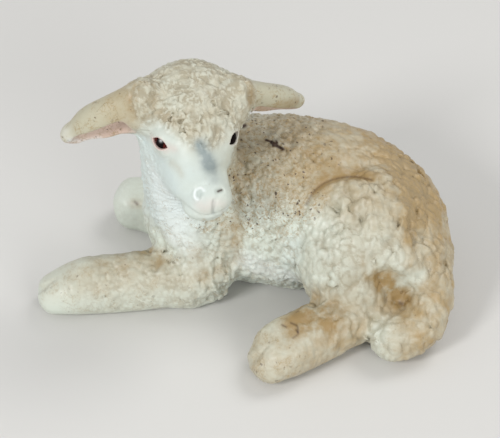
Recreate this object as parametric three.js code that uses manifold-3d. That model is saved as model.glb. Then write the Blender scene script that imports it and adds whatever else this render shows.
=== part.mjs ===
// A small moulded figure of a lamb lying down, with its head turned to its left.
// Millimetres, +Z up. The chest is towards -X, the rump towards +X, and the lamb's left side -Y.
// The trunk and neck are one moulding. The head, ears, eyes, legs and tail are mouldings of their
// own: each is cut to the surface that it seats on, and a keyed peg in a blind socket holds it.
import * as THREE from "three";
import { mergeVertices } from "three/addons/utils/BufferGeometryUtils.js";
import Module from "manifold-3d";

const wasm = await Module();
wasm.setup();

// Fits: the gap all round between two mouldings, and the pegs that join them
const FIT_GAP = 0.3;
const PEG_SIDES = 6;
const LEG_PEG_RADIUS = 1.7;
const LEG_PEG_LENGTH = 7;
const TAIL_PEG_RADIUS = 1.3;
const TAIL_PEG_LENGTH = 5.5;
const NECK_PEG_RADIUS = 2.4;
const NECK_PEG_DEPTH = 4;
const EAR_PEG_RADIUS = 0.8;
const EAR_PEG_DEPTH = 1.8;

// Trunk: a barrel whose spine bends round to the lamb's left, flattened where it lies
const TRUNK_LENGTH = 31.2;
const TRUNK_WIDTH = 22.6;
const TRUNK_HEIGHT = 21.2;
const CHEST_WIDTH = 18.5;
const RUMP_WIDTH = 15;
const SPINE_BEND = 9.5;
const BELLY_FLAT = 1.2;

// Neck
const NECK_HEIGHT = 24.8;
const NECK_WIDTH = 11.6;
const NECK_DEPTH = 12;
const NECK_FULLNESS = 0.7;

// Head
const HEAD_TURN = 15;
const HEAD_TILT = 1;
const HEAD_WIDTH = 13.9;
const HEAD_DEPTH = 12.3;
const BROW_WIDTH = 10.8;
const BRIDGE_WIDTH = 7.8;
const FACE_LENGTH = 13.1;
const FACE_SLOPE = 34;
const MUZZLE_WIDTH = 6.3;
const MUZZLE_DEPTH = 6.2;
const MUZZLE_START = 0.84;
const MUZZLE_DROP = 0.3;
const MUZZLE_DOME = 0.85;
const NOSTRIL_SIZE = 0.45;
const NOSTRIL_TURN = 28;
const NOSTRIL_LIFT = 58;
const MOUTH_GROOVE = 0.4;

// Eyes
const EYE_RADIUS = 1.2;
const EYE_SPACING = 8.8;
const EYE_DEPTH = 0.55;
const EYELID_THICKNESS = 0.45;
const EYE_OPENING_WIDTH = 2.3;
const EYE_OPENING_HEIGHT = 1.7;

// Ears: hollow leaves that droop and sweep back
const EAR_LENGTH = 11;
const EAR_WIDTH = 6.8;
const EAR_THICKNESS = 4;
const EAR_WALL = 0.8;
const EAR_DROOP = 30;
const EAR_SWEEP = 20;
const EAR_ROLL = 10;

// Legs
const LEG_WIDTH = 7.2;
const HOOF_WIDTH = 7.5;
const HOOF_TAPER = 0.74;
const CLEFT_WIDTH = 0.5;
const CLEFT_DEPTH = 1.7;
const SHOULDER_IN = 1.6;
const FORELEG_REACH = 19.8;
const KNEE_REACH = 9.2;
const HIND_FOOT_REACH = 17.2;
const THIGH_LENGTH = 15.5;
const THIGH_WIDTH = 15.5;
const LEG_FLAT = 0.5;

// Tail
const TAIL_WIDTH = 7;
const TAIL_LENGTH = 16;

const X = new THREE.Vector3(1, 0, 0);
const Y = new THREE.Vector3(0, 1, 0);
const Z = new THREE.Vector3(0, 0, 1);
const LEFT = -1;
const RIGHT = 1;
const point = (x, y, z) => new THREE.Vector3(x, y, z);
const station = (at, wide, tall) => ({ at, wide, tall });
const radians = THREE.MathUtils.degToRad;

// Turns a closed three.js geometry into a solid that can be joined and cut.
function solid(geometry) {
  const bare = new THREE.BufferGeometry();
  bare.setAttribute("position", geometry.getAttribute("position"));
  bare.setIndex(geometry.index);
  const merged = mergeVertices(bare, 1e-4);
  return new wasm.Manifold(new wasm.Mesh({
    numProp: 3,
    vertProperties: merged.getAttribute("position").array,
    triVerts: new Uint32Array(merged.index.array),
  }));
}

function geometryOf(made) {
  const mesh = made.getMesh();
  const geometry = new THREE.BufferGeometry();
  geometry.setAttribute("position", new THREE.BufferAttribute(mesh.vertProperties, 3));
  geometry.setIndex(new THREE.BufferAttribute(mesh.triVerts, 1));
  return geometry;
}

// A superellipse's coordinate: 2 gives an ellipse, and more gives fuller corners.
const round = (value, fullness) => Math.sign(value) * Math.abs(value) ** (2 / fullness);

// A closed skin of oval sections on a smooth curve through the stations, with domed ends. A
// section's width lies along across. grow makes the whole skin that much bigger all round.
function skin(stations, options) {
  const { across, sides = 24, steps = 3, grow = 0, fullness = 2, startDome = 1, endDome = 1 } = options;
  const domeSteps = 4;
  const spine = new THREE.CatmullRomCurve3(stations.map((s) => s.at));
  const sizes = new THREE.CatmullRomCurve3(stations.map((s) => point(s.wide, s.tall, 0)));
  const least = (s) => Math.min(s.wide, s.tall);
  const startLength = least(stations[0]) * startDome + grow;
  const endLength = least(stations.at(-1)) * endDome + grow;
  const positions = [];
  const addRing = (t, shrink, shift) => {
    const tangent = spine.getTangent(t);
    const side = across.clone().projectOnPlane(tangent).normalize();
    const rise = tangent.clone().cross(side);
    const centre = spine.getPoint(t).addScaledVector(tangent, shift);
    const size = sizes.getPoint(t);
    for (let k = 0; k < sides; k++) {
      const angle = (k / sides) * 2 * Math.PI;
      const p = centre.clone();
      p.addScaledVector(side, (size.x + grow) * shrink * round(Math.cos(angle), fullness));
      p.addScaledVector(rise, (size.y + grow) * shrink * round(Math.sin(angle), fullness));
      positions.push(...p);
    }
  };
  const dome = (i) => (i / domeSteps) * (Math.PI / 2);
  for (let i = domeSteps - 1; i > 0; i--) addRing(0, Math.cos(dome(i)), -Math.sin(dome(i)) * startLength);
  const count = (stations.length - 1) * steps;
  for (let i = 0; i <= count; i++) addRing(i / count, 1, 0);
  for (let i = 1; i < domeSteps; i++) addRing(1, Math.cos(dome(i)), Math.sin(dome(i)) * endLength);
  positions.push(...spine.getPoint(0).addScaledVector(spine.getTangent(0), -startLength));
  positions.push(...spine.getPoint(1).addScaledVector(spine.getTangent(1), endLength));

  const rings = count + 1 + 2 * (domeSteps - 1);
  const startTip = rings * sides;
  const endTip = startTip + 1;
  const lastRing = (rings - 1) * sides;
  const faces = [];
  for (let k = 0; k < sides; k++) {
    const next = (k + 1) % sides;
    faces.push(startTip, next, k);
    faces.push(endTip, lastRing + k, lastRing + next);
    for (let a = 0; a < lastRing; a += sides) {
      faces.push(a + k, a + next, a + sides + k);
      faces.push(a + next, a + sides + next, a + sides + k);
    }
  }
  const geometry = new THREE.BufferGeometry();
  geometry.setAttribute("position", new THREE.Float32BufferAttribute(positions, 3));
  geometry.setIndex(faces);
  return solid(geometry);
}

// A straight six-sided peg: its flats stop the piece from turning.
function peg(from, to, radius) {
  const way = to.clone().sub(from);
  const geometry = new THREE.CylinderGeometry(radius, radius, way.length(), PEG_SIDES);
  geometry.applyQuaternion(new THREE.Quaternion().setFromUnitVectors(Y, way.clone().normalize()));
  geometry.translate(...from.clone().addScaledVector(way, 0.5));
  return solid(geometry);
}

function ball(centre, radius) {
  const geometry = new THREE.SphereGeometry(radius, 14, 10);
  geometry.translate(...centre);
  return solid(geometry);
}

const FAR = 200;
const underGround = solid(new THREE.BoxGeometry(FAR, FAR, FAR).translate(0, 0, -FAR / 2));

// Trunk
const halfTrunk = TRUNK_WIDTH / 2;
const trunkRise = (TRUNK_HEIGHT - BELLY_FLAT) / 2;
const trunkTall = (TRUNK_HEIGHT + BELLY_FLAT) / 2;
const chestX = -TRUNK_LENGTH * 0.25;

// Each station: share of the length, share of the bend, then width, middle height and half height
const trunkStations = [
  [0, -0.1, CHEST_WIDTH / 2 - 1.2, 0.92, 0.86],
  [0.17, 0.09, CHEST_WIDTH / 2 + 1.2, 1.02, 1.02],
  [0.4, 0.17, halfTrunk, 1, 1],
  [0.62, 0.04, halfTrunk * 0.99, 0.97, 0.97],
  [0.79, -0.38, halfTrunk * 0.94, 0.88, 0.87],
  [0.9, -0.92, RUMP_WIDTH / 2, 0.7, 0.66],
].map(([along, bend, wide, rise, tall]) => station(
  point(chestX + TRUNK_LENGTH * along, SPINE_BEND * bend, trunkRise * rise),
  wide,
  trunkTall * tall,
));
const spine = new THREE.CatmullRomCurve3(trunkStations.map((s) => s.at));
const spineSizes = new THREE.CatmullRomCurve3(trunkStations.map((s) => point(s.wide, s.tall, 0)));

function trunk(grow) {
  return skin(trunkStations, { across: Y, grow, fullness: 2.2, startDome: 0.8, endDome: 0.7, sides: 30, steps: 3 });
}

// A point beside the spine: out is a share of the trunk's half width, and up a height over ground.
function beside(t, side, out, up) {
  const tangent = spine.getTangent(t);
  const outward = point(-tangent.y, tangent.x, 0).normalize().multiplyScalar(side);
  const p = spine.getPoint(t).addScaledVector(outward, spineSizes.getPoint(t).x * out);
  return p.setZ(up);
}

// Neck
const neckFoot = beside(0.04, LEFT, 0.3, 4);
const neckTop = point(neckFoot.x - 1.7, neckFoot.y - 0.7, NECK_HEIGHT);

// The neck spreads back over the chest at its foot, and its throat is fuller towards the front.
function neck(grow) {
  const w = NECK_WIDTH / 2;
  const d = NECK_DEPTH / 2;
  const foot = CHEST_WIDTH / 2;
  const spread = foot * 0.28;
  const along = (share, back, fore) => {
    const middle = neckFoot.clone().lerp(neckTop, share);
    return middle.add(point(-NECK_FULLNESS * fore, spread * back, 0));
  };
  return skin([
    station(along(0, 1, 0), w * 1.12, foot * 0.71 + spread),
    station(along(0.24, 0.8, 0.2), w * 1.1 + NECK_FULLNESS * 0.2, foot * 0.66 + spread * 0.8),
    station(along(0.55, 0.4, 1), w + NECK_FULLNESS, d + spread * 0.4),
    station(along(0.8, 0.1, 1), w * 0.98 + NECK_FULLNESS, d * 0.92 + spread * 0.1),
    station(along(1, 0, 0.4), w + NECK_FULLNESS * 0.4, d * 0.86),
  ], { across: X, grow, startDome: 0.6, endDome: 0.3 });
}

// The head's own frame, seated over the neck: the face looks along -Y and the crown is at +Z.
const headGroup = new THREE.Group();
headGroup.position.copy(neckTop).add(point(0, -0.8, HEAD_DEPTH * 0.38));
headGroup.rotation.set(0, radians(HEAD_TILT), radians(HEAD_TURN), "ZYX");
headGroup.updateMatrix();

// A point on the line of the face, which slopes down from the middle of the head to the nose
function onFace(distance, lift, x = 0) {
  const slope = radians(FACE_SLOPE);
  const along = point(0, -Math.cos(slope), -Math.sin(slope));
  const over = point(0, -Math.sin(slope), Math.cos(slope));
  return point(x, 0, 0).addScaledVector(along, distance).addScaledVector(over, lift);
}

const halfHead = HEAD_WIDTH / 2;
const halfDepth = HEAD_DEPTH / 2;
const halfMuzzle = MUZZLE_WIDTH / 2;
const muzzleTall = MUZZLE_DEPTH / 2;

function skull(grow) {
  return skin([
    station(onFace(-HEAD_DEPTH * 0.2, 0), halfHead * 0.9, halfDepth * 0.88),
    station(onFace(0, 0), halfHead, halfDepth),
    station(onFace(FACE_LENGTH * 0.28, 0), BROW_WIDTH / 2, halfDepth * 0.9),
    station(onFace(FACE_LENGTH * 0.55, -0.3), BRIDGE_WIDTH / 2, (halfDepth + muzzleTall) / 2),
    station(onFace(FACE_LENGTH * MUZZLE_START, -MUZZLE_DROP), halfMuzzle, muzzleTall),
  ], { across: X, grow, endDome: MUZZLE_DOME, startDome: 0.9, sides: 28, steps: 3 });
}

// The way an eye looks out, and its middle, set a little under the skin
const lookOut = (side) => point(-side * 0.72, -0.66, 0.2).normalize();
const eyeAt = (side) => onFace(FACE_LENGTH * 0.3, HEAD_DEPTH * 0.23, -side * EYE_SPACING / 2)
  .addScaledVector(lookOut(side), -EYE_DEPTH);
const eyeSocket = (side) => ball(eyeAt(side), EYE_RADIUS + FIT_GAP);
const eyelids = (side) => ball(eyeAt(side), EYE_RADIUS + FIT_GAP + EYELID_THICKNESS);

// The almond opening between the lids
function eyeOpening(side) {
  const geometry = new THREE.SphereGeometry(0.5, 14, 10);
  geometry.scale(EYE_OPENING_WIDTH, EYE_OPENING_HEIGHT, EYE_RADIUS * 1.6);
  geometry.applyQuaternion(new THREE.Quaternion().setFromUnitVectors(Z, lookOut(side)));
  geometry.translate(...eyeAt(side).addScaledVector(lookOut(side), EYE_RADIUS * 1.35));
  return solid(geometry);
}

// A point on the rounded end of the muzzle: turned to the side and lifted, in degrees
function onMuzzle(turn, lift) {
  const level = Math.cos(radians(lift));
  return onFace(
    FACE_LENGTH * MUZZLE_START + muzzleTall * MUZZLE_DOME * level * Math.cos(radians(turn)),
    -MUZZLE_DROP + muzzleTall * Math.sin(radians(lift)),
    halfMuzzle * level * Math.sin(radians(turn)),
  );
}

function mouth() {
  const turns = [-80, -50, -20, 0, 20, 50, 80];
  const points = turns.map((turn) => onMuzzle(turn, -30 + Math.abs(turn) * 0.2));
  return skin(points.map((p) => station(p, MOUTH_GROOVE, MOUTH_GROOVE)), { across: Z, sides: 8, steps: 1 });
}

const nostril = (side) => ball(onMuzzle(side * NOSTRIL_TURN, NOSTRIL_LIFT), NOSTRIL_SIZE);

// Pegs join a piece to what it seats on. The socket is wider and deeper than the peg by the gap.
const socketFor = (from, to, radius) => {
  const past = to.clone().sub(from).setLength(FIT_GAP);
  return peg(from, to.clone().add(past), radius + FIT_GAP);
};

// Ears. An ear's own frame has its root at the origin, its tip along +X and its hollow facing -Y.
function leaf(grow) {
  const w = EAR_WIDTH / 2;
  const t = EAR_THICKNESS / 2;
  return skin([
    station(point(-1, 0, 0.2), t * 0.9, w * 0.9),
    station(point(EAR_LENGTH * 0.28, 0, 0), t, w),
    station(point(EAR_LENGTH * 0.58, 0.1, -0.2), t * 0.9, w * 0.88),
    station(point(EAR_LENGTH * 0.84, 0.2, -0.3), t * 0.6, w * 0.5),
  ], { across: Y, grow, endDome: 1.6, startDome: 0.6, sides: 20, steps: 3 });
}

function earGroup(side) {
  const tip = point(-side * Math.cos(radians(EAR_DROOP)), 0, -Math.sin(radians(EAR_DROOP)));
  tip.applyAxisAngle(Z, -side * radians(EAR_SWEEP));
  const hollow = point(0, -Math.cos(radians(EAR_ROLL)), -Math.sin(radians(EAR_ROLL)));
  const backOfEar = hollow.projectOnPlane(tip).normalize().negate();
  const group = new THREE.Group();
  const basis = new THREE.Matrix4().makeBasis(tip, backOfEar, tip.clone().cross(backOfEar));
  group.quaternion.setFromRotationMatrix(basis);
  group.position.set(-side * halfHead * 0.98, 0.7, HEAD_DEPTH * 0.16);
  group.updateMatrix();
  return group;
}

const earPegFrom = point(1.2, 0, 0);
const earPegTo = point(-EAR_PEG_DEPTH, 0, 0);

function ear(group) {
  const hollow = leaf(-EAR_WALL).translate(EAR_WALL * 3, -EAR_THICKNESS * 0.36, -EAR_WALL * 0.4);
  const seat = skull(FIT_GAP).transform(group.matrix.clone().invert().elements);
  return leaf(0).subtract(hollow).subtract(seat).add(peg(earPegFrom, earPegTo, EAR_PEG_RADIUS));
}

// Legs
const halfLeg = LEG_WIDTH / 2;
const halfHoof = HOOF_WIDTH / 2;
const legRise = halfLeg - LEG_FLAT;

// The slot between the two toes, at the tip of a hoof whose leg comes from behind
function cleft(tip, from) {
  const back = from.clone().sub(tip).setZ(0).normalize();
  const geometry = new THREE.CylinderGeometry(CLEFT_DEPTH, CLEFT_DEPTH, CLEFT_WIDTH, 12);
  geometry.scale(1, 1, 2.2);
  geometry.rotateZ(Math.atan2(back.y, back.x));
  geometry.translate(...tip.clone().addScaledVector(back, -halfHoof));
  return solid(geometry);
}

const elbow = beside(0, LEFT, 0.85, halfLeg * 1.2).add(point(-0.8, 0.4, 0));

function foreleg() {
  const foot = point(elbow.x - FORELEG_REACH, elbow.y - 1.8, legRise);
  const along = (share, up) => elbow.clone().lerp(foot, share).setZ(up);
  const shape = skin([
    station(elbow.clone().add(point(halfLeg * 0.17, SHOULDER_IN, halfLeg)), halfLeg * 0.9, halfLeg * 0.95),
    station(elbow, halfLeg * 1.2, halfLeg * 1.2),
    station(along(0.26, halfLeg * 1.05), halfLeg * 1.06, halfLeg * 1.08),
    station(along(0.58, legRise), halfLeg, halfLeg),
    station(along(0.86, legRise), halfHoof, halfHoof * 0.9),
    station(along(1.02, legRise * HOOF_TAPER), halfHoof * 0.84, halfHoof * 0.9 * HOOF_TAPER),
  ], { across: Y, fullness: 2.2, endDome: 0.85, sides: 20 });
  return shape.subtract(cleft(foot, elbow));
}

const farElbow = beside(0.1, RIGHT, 0.68, halfLeg * 1.2);

function foldedForeleg() {
  const knee = point(farElbow.x - KNEE_REACH, farElbow.y + 2.8, legRise);
  const upper = skin([
    station(farElbow.clone().add(point(halfLeg * 0.14, -SHOULDER_IN, halfLeg * 0.7)), halfLeg, halfLeg),
    station(farElbow, halfLeg * 1.05, halfLeg * 1.15),
    station(farElbow.clone().lerp(knee, 0.5), halfLeg, halfLeg),
    station(knee, halfLeg, halfLeg),
  ], { across: Y, fullness: 2.5, endDome: 0.7, sides: 20 });
  const shin = (share, inward) => point(knee.x + KNEE_REACH * share, knee.y - inward, halfLeg * 0.62);
  const shank = skin([
    station(shin(0.05, 0.6), halfLeg * 0.66, halfLeg * 0.66),
    station(shin(0.45, 3.4), halfLeg * 0.6, halfLeg * 0.6),
    station(shin(0.8, 4.6), halfLeg * 0.62, halfLeg * 0.6),
  ], { across: Y, endDome: 0.9, sides: 14 });
  return upper.add(shank);
}

// Places by the hip: forward towards the chest, and out from the spine to the given side
const hip = spine.getPoint(0.8);
const byHip = (side, forward, out, up) => point(hip.x - forward, hip.y + side * out * halfTrunk, up);

function thigh(side, bulk, inward) {
  const w = (THIGH_WIDTH / 2) * bulk;
  return skin([
    station(byHip(side, THIGH_WIDTH * 0.12, inward + 0.23, THIGH_LENGTH * 0.9 * bulk), w * 0.75, w * 0.75),
    station(byHip(side, THIGH_WIDTH * 0.2, inward + 0.48, THIGH_LENGTH * 0.66 * bulk), w * 1.02, w * 0.9),
    station(byHip(side, THIGH_WIDTH * 0.2, inward + 0.68, THIGH_LENGTH * 0.4), w * 0.85, w * 0.72),
  ], { across: X, endDome: 0.8 });
}

function hindLeg() {
  const hock = byHip(LEFT, 0, 0.78, halfLeg * 1.15);
  const foot = point(hock.x - HIND_FOOT_REACH * 0.84, hock.y - HIND_FOOT_REACH * 0.54, legRise);
  const along = (share, up) => hock.clone().lerp(foot, share).setZ(up);
  const shank = skin([
    station(hock, halfLeg * 1.1, halfLeg * 1.15),
    station(along(0.35, halfLeg * 1.04), halfLeg * 1.04, halfLeg * 1.05),
    station(along(0.66, legRise), halfLeg, halfLeg),
    station(along(0.86, legRise), halfHoof, halfHoof * 0.9),
    station(along(1.03, legRise * HOOF_TAPER), halfHoof * 0.86, halfHoof * 0.9 * HOOF_TAPER),
  ], { across: Y, fullness: 2.2, endDome: 0.8, sides: 20 });
  return thigh(LEFT, 1, 0).add(shank).subtract(cleft(foot, hock));
}

function farHindLeg() {
  const hock = byHip(RIGHT, 0, 1.14, halfLeg);
  const foot = byHip(RIGHT, HIND_FOOT_REACH * 0.86, 1.3, legRise);
  const along = (share) => hock.clone().lerp(foot, share);
  const shank = skin([
    station(hock, halfLeg * 0.95, halfLeg * 0.95),
    station(along(0.5), halfLeg * 0.9, halfLeg * 0.9),
    station(foot, halfHoof * 0.92, halfHoof * 0.88),
  ], { across: Y, fullness: 2.2, endDome: 0.8, sides: 18 });
  return thigh(RIGHT, 0.92, 0.46).add(shank).subtract(cleft(foot, hock));
}

const tailRoot = beside(1, LEFT, 0, TRUNK_HEIGHT * 0.38);

function tailCurl(grow) {
  const r = TAIL_WIDTH / 2;
  const at = (x, y, z) => tailRoot.clone().add(point(x, y, 0).multiplyScalar(TAIL_LENGTH)).setZ(z);
  return skin([
    station(at(0.02, 0.06, tailRoot.z), r, r * 1.05),
    station(at(0.17, -0.22, r * 1.75), r * 1.02, r * 1.05),
    station(at(0.1, -0.47, r * 1.08), r, r * 1.05),
    station(at(-0.12, -0.59, r * 0.92), r * 0.92, r * 0.95),
  ], { across: Z, grow, endDome: 0.85 });
}

// Fitting the legs and tail: each is cut back from the body's surface by the gap, keeps its own
// peg, and leaves its socket to be cut from the body.
const trunkAndNeck = (grow) => trunk(grow).add(neck(grow));
const seatSurface = trunkAndNeck(FIT_GAP);
const sockets = [];

function fitted(shape, from, to, radius) {
  sockets.push(socketFor(from, to, radius));
  return shape.subtract(seatSurface).add(peg(from, to, radius)).subtract(underGround);
}

// A level peg from a point inside a leg towards a place on the spine
function legPeg(from, t) {
  const way = spine.getPoint(t).sub(from).setZ(0).setLength(LEG_PEG_LENGTH);
  return [from, from.clone().add(way), LEG_PEG_RADIUS];
}

const forelegPeg = legPeg(elbow.clone().add(point(-0.25, -0.67, 0.2).multiplyScalar(halfLeg)), 0.1);
const farForelegPeg = legPeg(farElbow.clone().add(point(-0.7, 0.28, 0.17).multiplyScalar(halfLeg)), 0.2);
const hindLegPeg = legPeg(byHip(LEFT, THIGH_WIDTH * 0.19, 1.1, THIGH_LENGTH * 0.52), 0.62);
const farHindLegPeg = legPeg(byHip(RIGHT, THIGH_WIDTH * 0.04, 1.22, THIGH_LENGTH * 0.32), 0.62);

const tailPegFrom = tailRoot.clone().add(point(TAIL_LENGTH * 0.13, -TAIL_LENGTH * 0.36, -TAIL_WIDTH * 0.35));
const tailPegWay = spine.getPoint(0.9).sub(tailPegFrom).setLength(TAIL_PEG_LENGTH);
const tailPeg = [tailPegFrom, tailPegFrom.clone().add(tailPegWay), TAIL_PEG_RADIUS];

const coat = new THREE.MeshStandardMaterial({ color: 0xded8c4, roughness: 0.55, metalness: 0 });
const innerEar = new THREE.MeshStandardMaterial({ color: 0xdcc9b8, roughness: 0.55, metalness: 0 });
const gloss = new THREE.MeshStandardMaterial({ color: 0x1a0f0c, roughness: 0.12, metalness: 0 });

function piece(name, made, material = coat) {
  const mesh = new THREE.Mesh(geometryOf(made), material);
  mesh.name = name;
  return mesh;
}

const lamb = new THREE.Group();
lamb.add(piece("foreleg_left", fitted(foreleg(), ...forelegPeg)));
lamb.add(piece("foreleg_right", fitted(foldedForeleg(), ...farForelegPeg)));
lamb.add(piece("hind_leg_left", fitted(hindLeg().subtract(tailCurl(FIT_GAP)), ...hindLegPeg)));
lamb.add(piece("hind_leg_right", fitted(farHindLeg(), ...farHindLegPeg)));
lamb.add(piece("tail", fitted(tailCurl(0), ...tailPeg)));

const neckPeg = [
  neckTop.clone().addScaledVector(Z, -1),
  neckTop.clone().addScaledVector(Z, NECK_PEG_DEPTH),
  NECK_PEG_RADIUS,
];
let body = trunkAndNeck(0).subtract(underGround).add(peg(...neckPeg));
for (const socket of sockets) body = body.subtract(socket);
lamb.add(piece("body", body));

const toHead = headGroup.matrix.clone().invert().elements;
let head = skull(0);
for (const side of [LEFT, RIGHT]) {
  head = head.add(eyelids(side)).subtract(eyeSocket(side)).subtract(eyeOpening(side));
  head = head.subtract(nostril(side));
}
head = head.subtract(mouth());
head = head.subtract(neck(FIT_GAP).transform(toHead)).subtract(socketFor(...neckPeg).transform(toHead));
for (const [side, name] of [[LEFT, "ear_left"], [RIGHT, "ear_right"]]) {
  const group = earGroup(side);
  head = head.subtract(socketFor(earPegFrom, earPegTo, EAR_PEG_RADIUS).transform(group.matrix.elements));
  group.add(piece(name, ear(group), innerEar));
  headGroup.add(group);
}
headGroup.add(piece("head", head));
headGroup.add(piece("eye_left", ball(eyeAt(LEFT), EYE_RADIUS), gloss));
headGroup.add(piece("eye_right", ball(eyeAt(RIGHT), EYE_RADIUS), gloss));
lamb.add(headGroup);

// The origin is under the middle of the figure.
const extent = new THREE.Box3().setFromObject(lamb, true);
const middle = extent.getCenter(point(0, 0, 0));
lamb.position.set(-middle.x, -middle.y, 0);

export default lamb;
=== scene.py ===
import itertools
import math

import bpy
import numpy as np
import openvdb as vdb
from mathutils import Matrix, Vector


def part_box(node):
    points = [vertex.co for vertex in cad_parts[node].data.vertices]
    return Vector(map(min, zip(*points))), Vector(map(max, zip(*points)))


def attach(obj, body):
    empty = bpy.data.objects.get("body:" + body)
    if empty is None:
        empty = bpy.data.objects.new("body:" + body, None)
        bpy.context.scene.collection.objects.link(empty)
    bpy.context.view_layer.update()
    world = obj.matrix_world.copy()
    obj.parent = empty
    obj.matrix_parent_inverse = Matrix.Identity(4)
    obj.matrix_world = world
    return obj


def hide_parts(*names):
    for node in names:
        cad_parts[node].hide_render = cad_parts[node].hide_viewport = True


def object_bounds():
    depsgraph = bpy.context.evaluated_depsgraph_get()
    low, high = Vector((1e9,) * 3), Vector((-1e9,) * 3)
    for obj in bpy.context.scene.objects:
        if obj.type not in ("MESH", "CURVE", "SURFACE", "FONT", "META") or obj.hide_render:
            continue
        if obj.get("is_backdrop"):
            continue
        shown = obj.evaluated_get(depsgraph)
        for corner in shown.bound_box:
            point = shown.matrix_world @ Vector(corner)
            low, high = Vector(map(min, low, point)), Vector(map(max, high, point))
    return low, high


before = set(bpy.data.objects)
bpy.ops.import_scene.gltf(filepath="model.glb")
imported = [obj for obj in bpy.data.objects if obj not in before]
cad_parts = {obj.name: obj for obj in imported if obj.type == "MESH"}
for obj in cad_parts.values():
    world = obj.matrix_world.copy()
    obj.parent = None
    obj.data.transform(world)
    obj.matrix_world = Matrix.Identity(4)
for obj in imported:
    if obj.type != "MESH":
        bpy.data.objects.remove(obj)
cad_low, cad_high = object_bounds()

# A painted vinyl lamb. The solids are melted into one form, which gets the photograph's folds, wool
# and paint, with some painted light and shade, and is shared out again piece by piece. Lengths are millimetres until a
# mesh is made.
MM = 0.001
LEFT, RIGHT = 1, -1
EARS = {"ear_left": LEFT, "ear_right": RIGHT}
EYES = {"eye_left": LEFT, "eye_right": RIGHT}
MOULDINGS = ("body", "foreleg_left", "foreleg_right", "hind_leg_left", "hind_leg_right", "tail")
CORNERS = tuple(itertools.product((0, 1), repeat=3))
NEIGHBOURS = tuple(itertools.product((-1, 0, 1), repeat=3))
FAR = 1e9

# The camera and the photograph's frame
CAMERA_TARGET = np.array([0.71, 1.21, 11.5])
CAMERA_ELEVATION = math.radians(42)
CAMERA_DISTANCE = 260.0
PICTURE_WIDTH, PICTURE_HEIGHT = 500, 438
FOCAL_PIXELS = 1950.0
SENSOR_WIDTH = 36.0
CLIP_START, CLIP_END = 0.01, 10

camera_back = np.array([0, -math.cos(CAMERA_ELEVATION), math.sin(CAMERA_ELEVATION)])
camera_up = np.array([0, math.sin(CAMERA_ELEVATION), math.cos(CAMERA_ELEVATION)])
camera_right = np.array([1.0, 0, 0])
camera_eye = CAMERA_TARGET + CAMERA_DISTANCE * camera_back

# Small helpers on numpy arrays
BLUR_REACH = 2.5


def unit(vector):
    return vector / np.linalg.norm(vector)


def smoothstep(low, high, value):
    t = np.clip((value - low) / (high - low), 0, 1)
    return t * t * (3 - 2 * t)


def between(start, end, span, value):
    """From start to end, smoothly, while the value crosses the span."""
    return start + (end - start) * smoothstep(*span, value)


def soft_union(a, b, width):
    """The lower of two distances, rounded where they are closer than width."""
    h = np.maximum(width - np.abs(a - b), 0) / width
    return np.minimum(a, b) - h * h * width / 4


def soft_cut(a, b, width):
    """a with b taken out of it, the rim rounded by width."""
    return -soft_union(-a, b, width)


def blurred(array, sigma):
    """Gaussian blur, sigma in voxels."""
    radius = max(1, math.ceil(sigma * BLUR_REACH))
    offsets = np.arange(-radius, radius + 1)
    weights = np.exp(-((offsets / sigma) ** 2) / 2)
    weights = (weights / weights.sum()).astype(np.float32)
    for axis in range(3):
        pad = [(0, 0)] * 3
        pad[axis] = (radius, radius)
        padded = np.pad(array, pad, mode="edge")
        out = np.zeros_like(array)
        for k, weight in enumerate(weights):
            cut = [slice(None)] * 3
            cut[axis] = slice(k, k + array.shape[axis])
            out += weight * padded[tuple(cut)]
        array = out
    return array


def block(low, high):
    """The part of a grid from one corner to another."""
    return tuple(slice(a, b) for a, b in zip(low, high))


def corner_weight(f, corner):
    """The share of one corner of a cell, f being how far across the cell each point is."""
    x, y, z = (f[:, k] if corner[k] else 1 - f[:, k] for k in range(3))
    return x * y * z


# The shared grid that holds the distance to every piece
VOXEL = 0.25
BAND = 4.5
GRID_MARGIN = 2.0
BLUR_MARGIN = 1.0
first = np.floor((np.array(cad_low) / MM - GRID_MARGIN) / VOXEL).astype(int)
last = np.ceil((np.array(cad_high) / MM + GRID_MARGIN) / VOXEL).astype(int)
shape = tuple(last - first + 1)
grid_axes = [np.arange(first[k], last[k] + 1) * VOXEL for k in range(3)]
GX, GY, GZ = (a.astype(np.float32) for a in np.meshgrid(*grid_axes, indexing="ij", sparse=True))


def distance_to(points, triangles, sigma):
    """The distance to a closed mesh on the shared grid, held to the band and blurred."""
    grid = vdb.FloatGrid.createLevelSetFromPolygons(
        np.ascontiguousarray(points, np.float32),
        triangles=np.ascontiguousarray(triangles, np.uint32),
        transform=vdb.createLinearTransform(voxelSize=VOXEL),
        halfWidth=BAND / VOXEL,
    )
    reach = BAND + BLUR_MARGIN
    low = np.maximum(np.floor((points.min(0) - reach) / VOXEL).astype(int), first)
    high = np.minimum(np.ceil((points.max(0) + reach) / VOXEL).astype(int), last)
    part = np.empty(tuple(high - low + 1), np.float32)
    grid.copyToArray(part, ijk=tuple(int(v) for v in low))
    if sigma > 0:
        part = blurred(part, sigma / VOXEL)
    whole = np.full(shape, BAND, np.float32)
    whole[block(low - first, low - first + part.shape)] = part
    return whole


def node_mesh(name):
    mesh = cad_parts[name].data
    points = np.empty(len(mesh.vertices) * 3, np.float32)
    mesh.vertices.foreach_get("co", points)
    mesh.calc_loop_triangles()
    triangles = np.empty(len(mesh.loop_triangles) * 3, np.int32)
    mesh.loop_triangles.foreach_get("vertices", triangles)
    return points.reshape(-1, 3) / MM, triangles.reshape(-1, 3)


# Lofts: a smooth skin of oval sections along a curve
LOFT_SIDES = 72
LOFT_RINGS = 60
DOME_RINGS = 14


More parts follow.
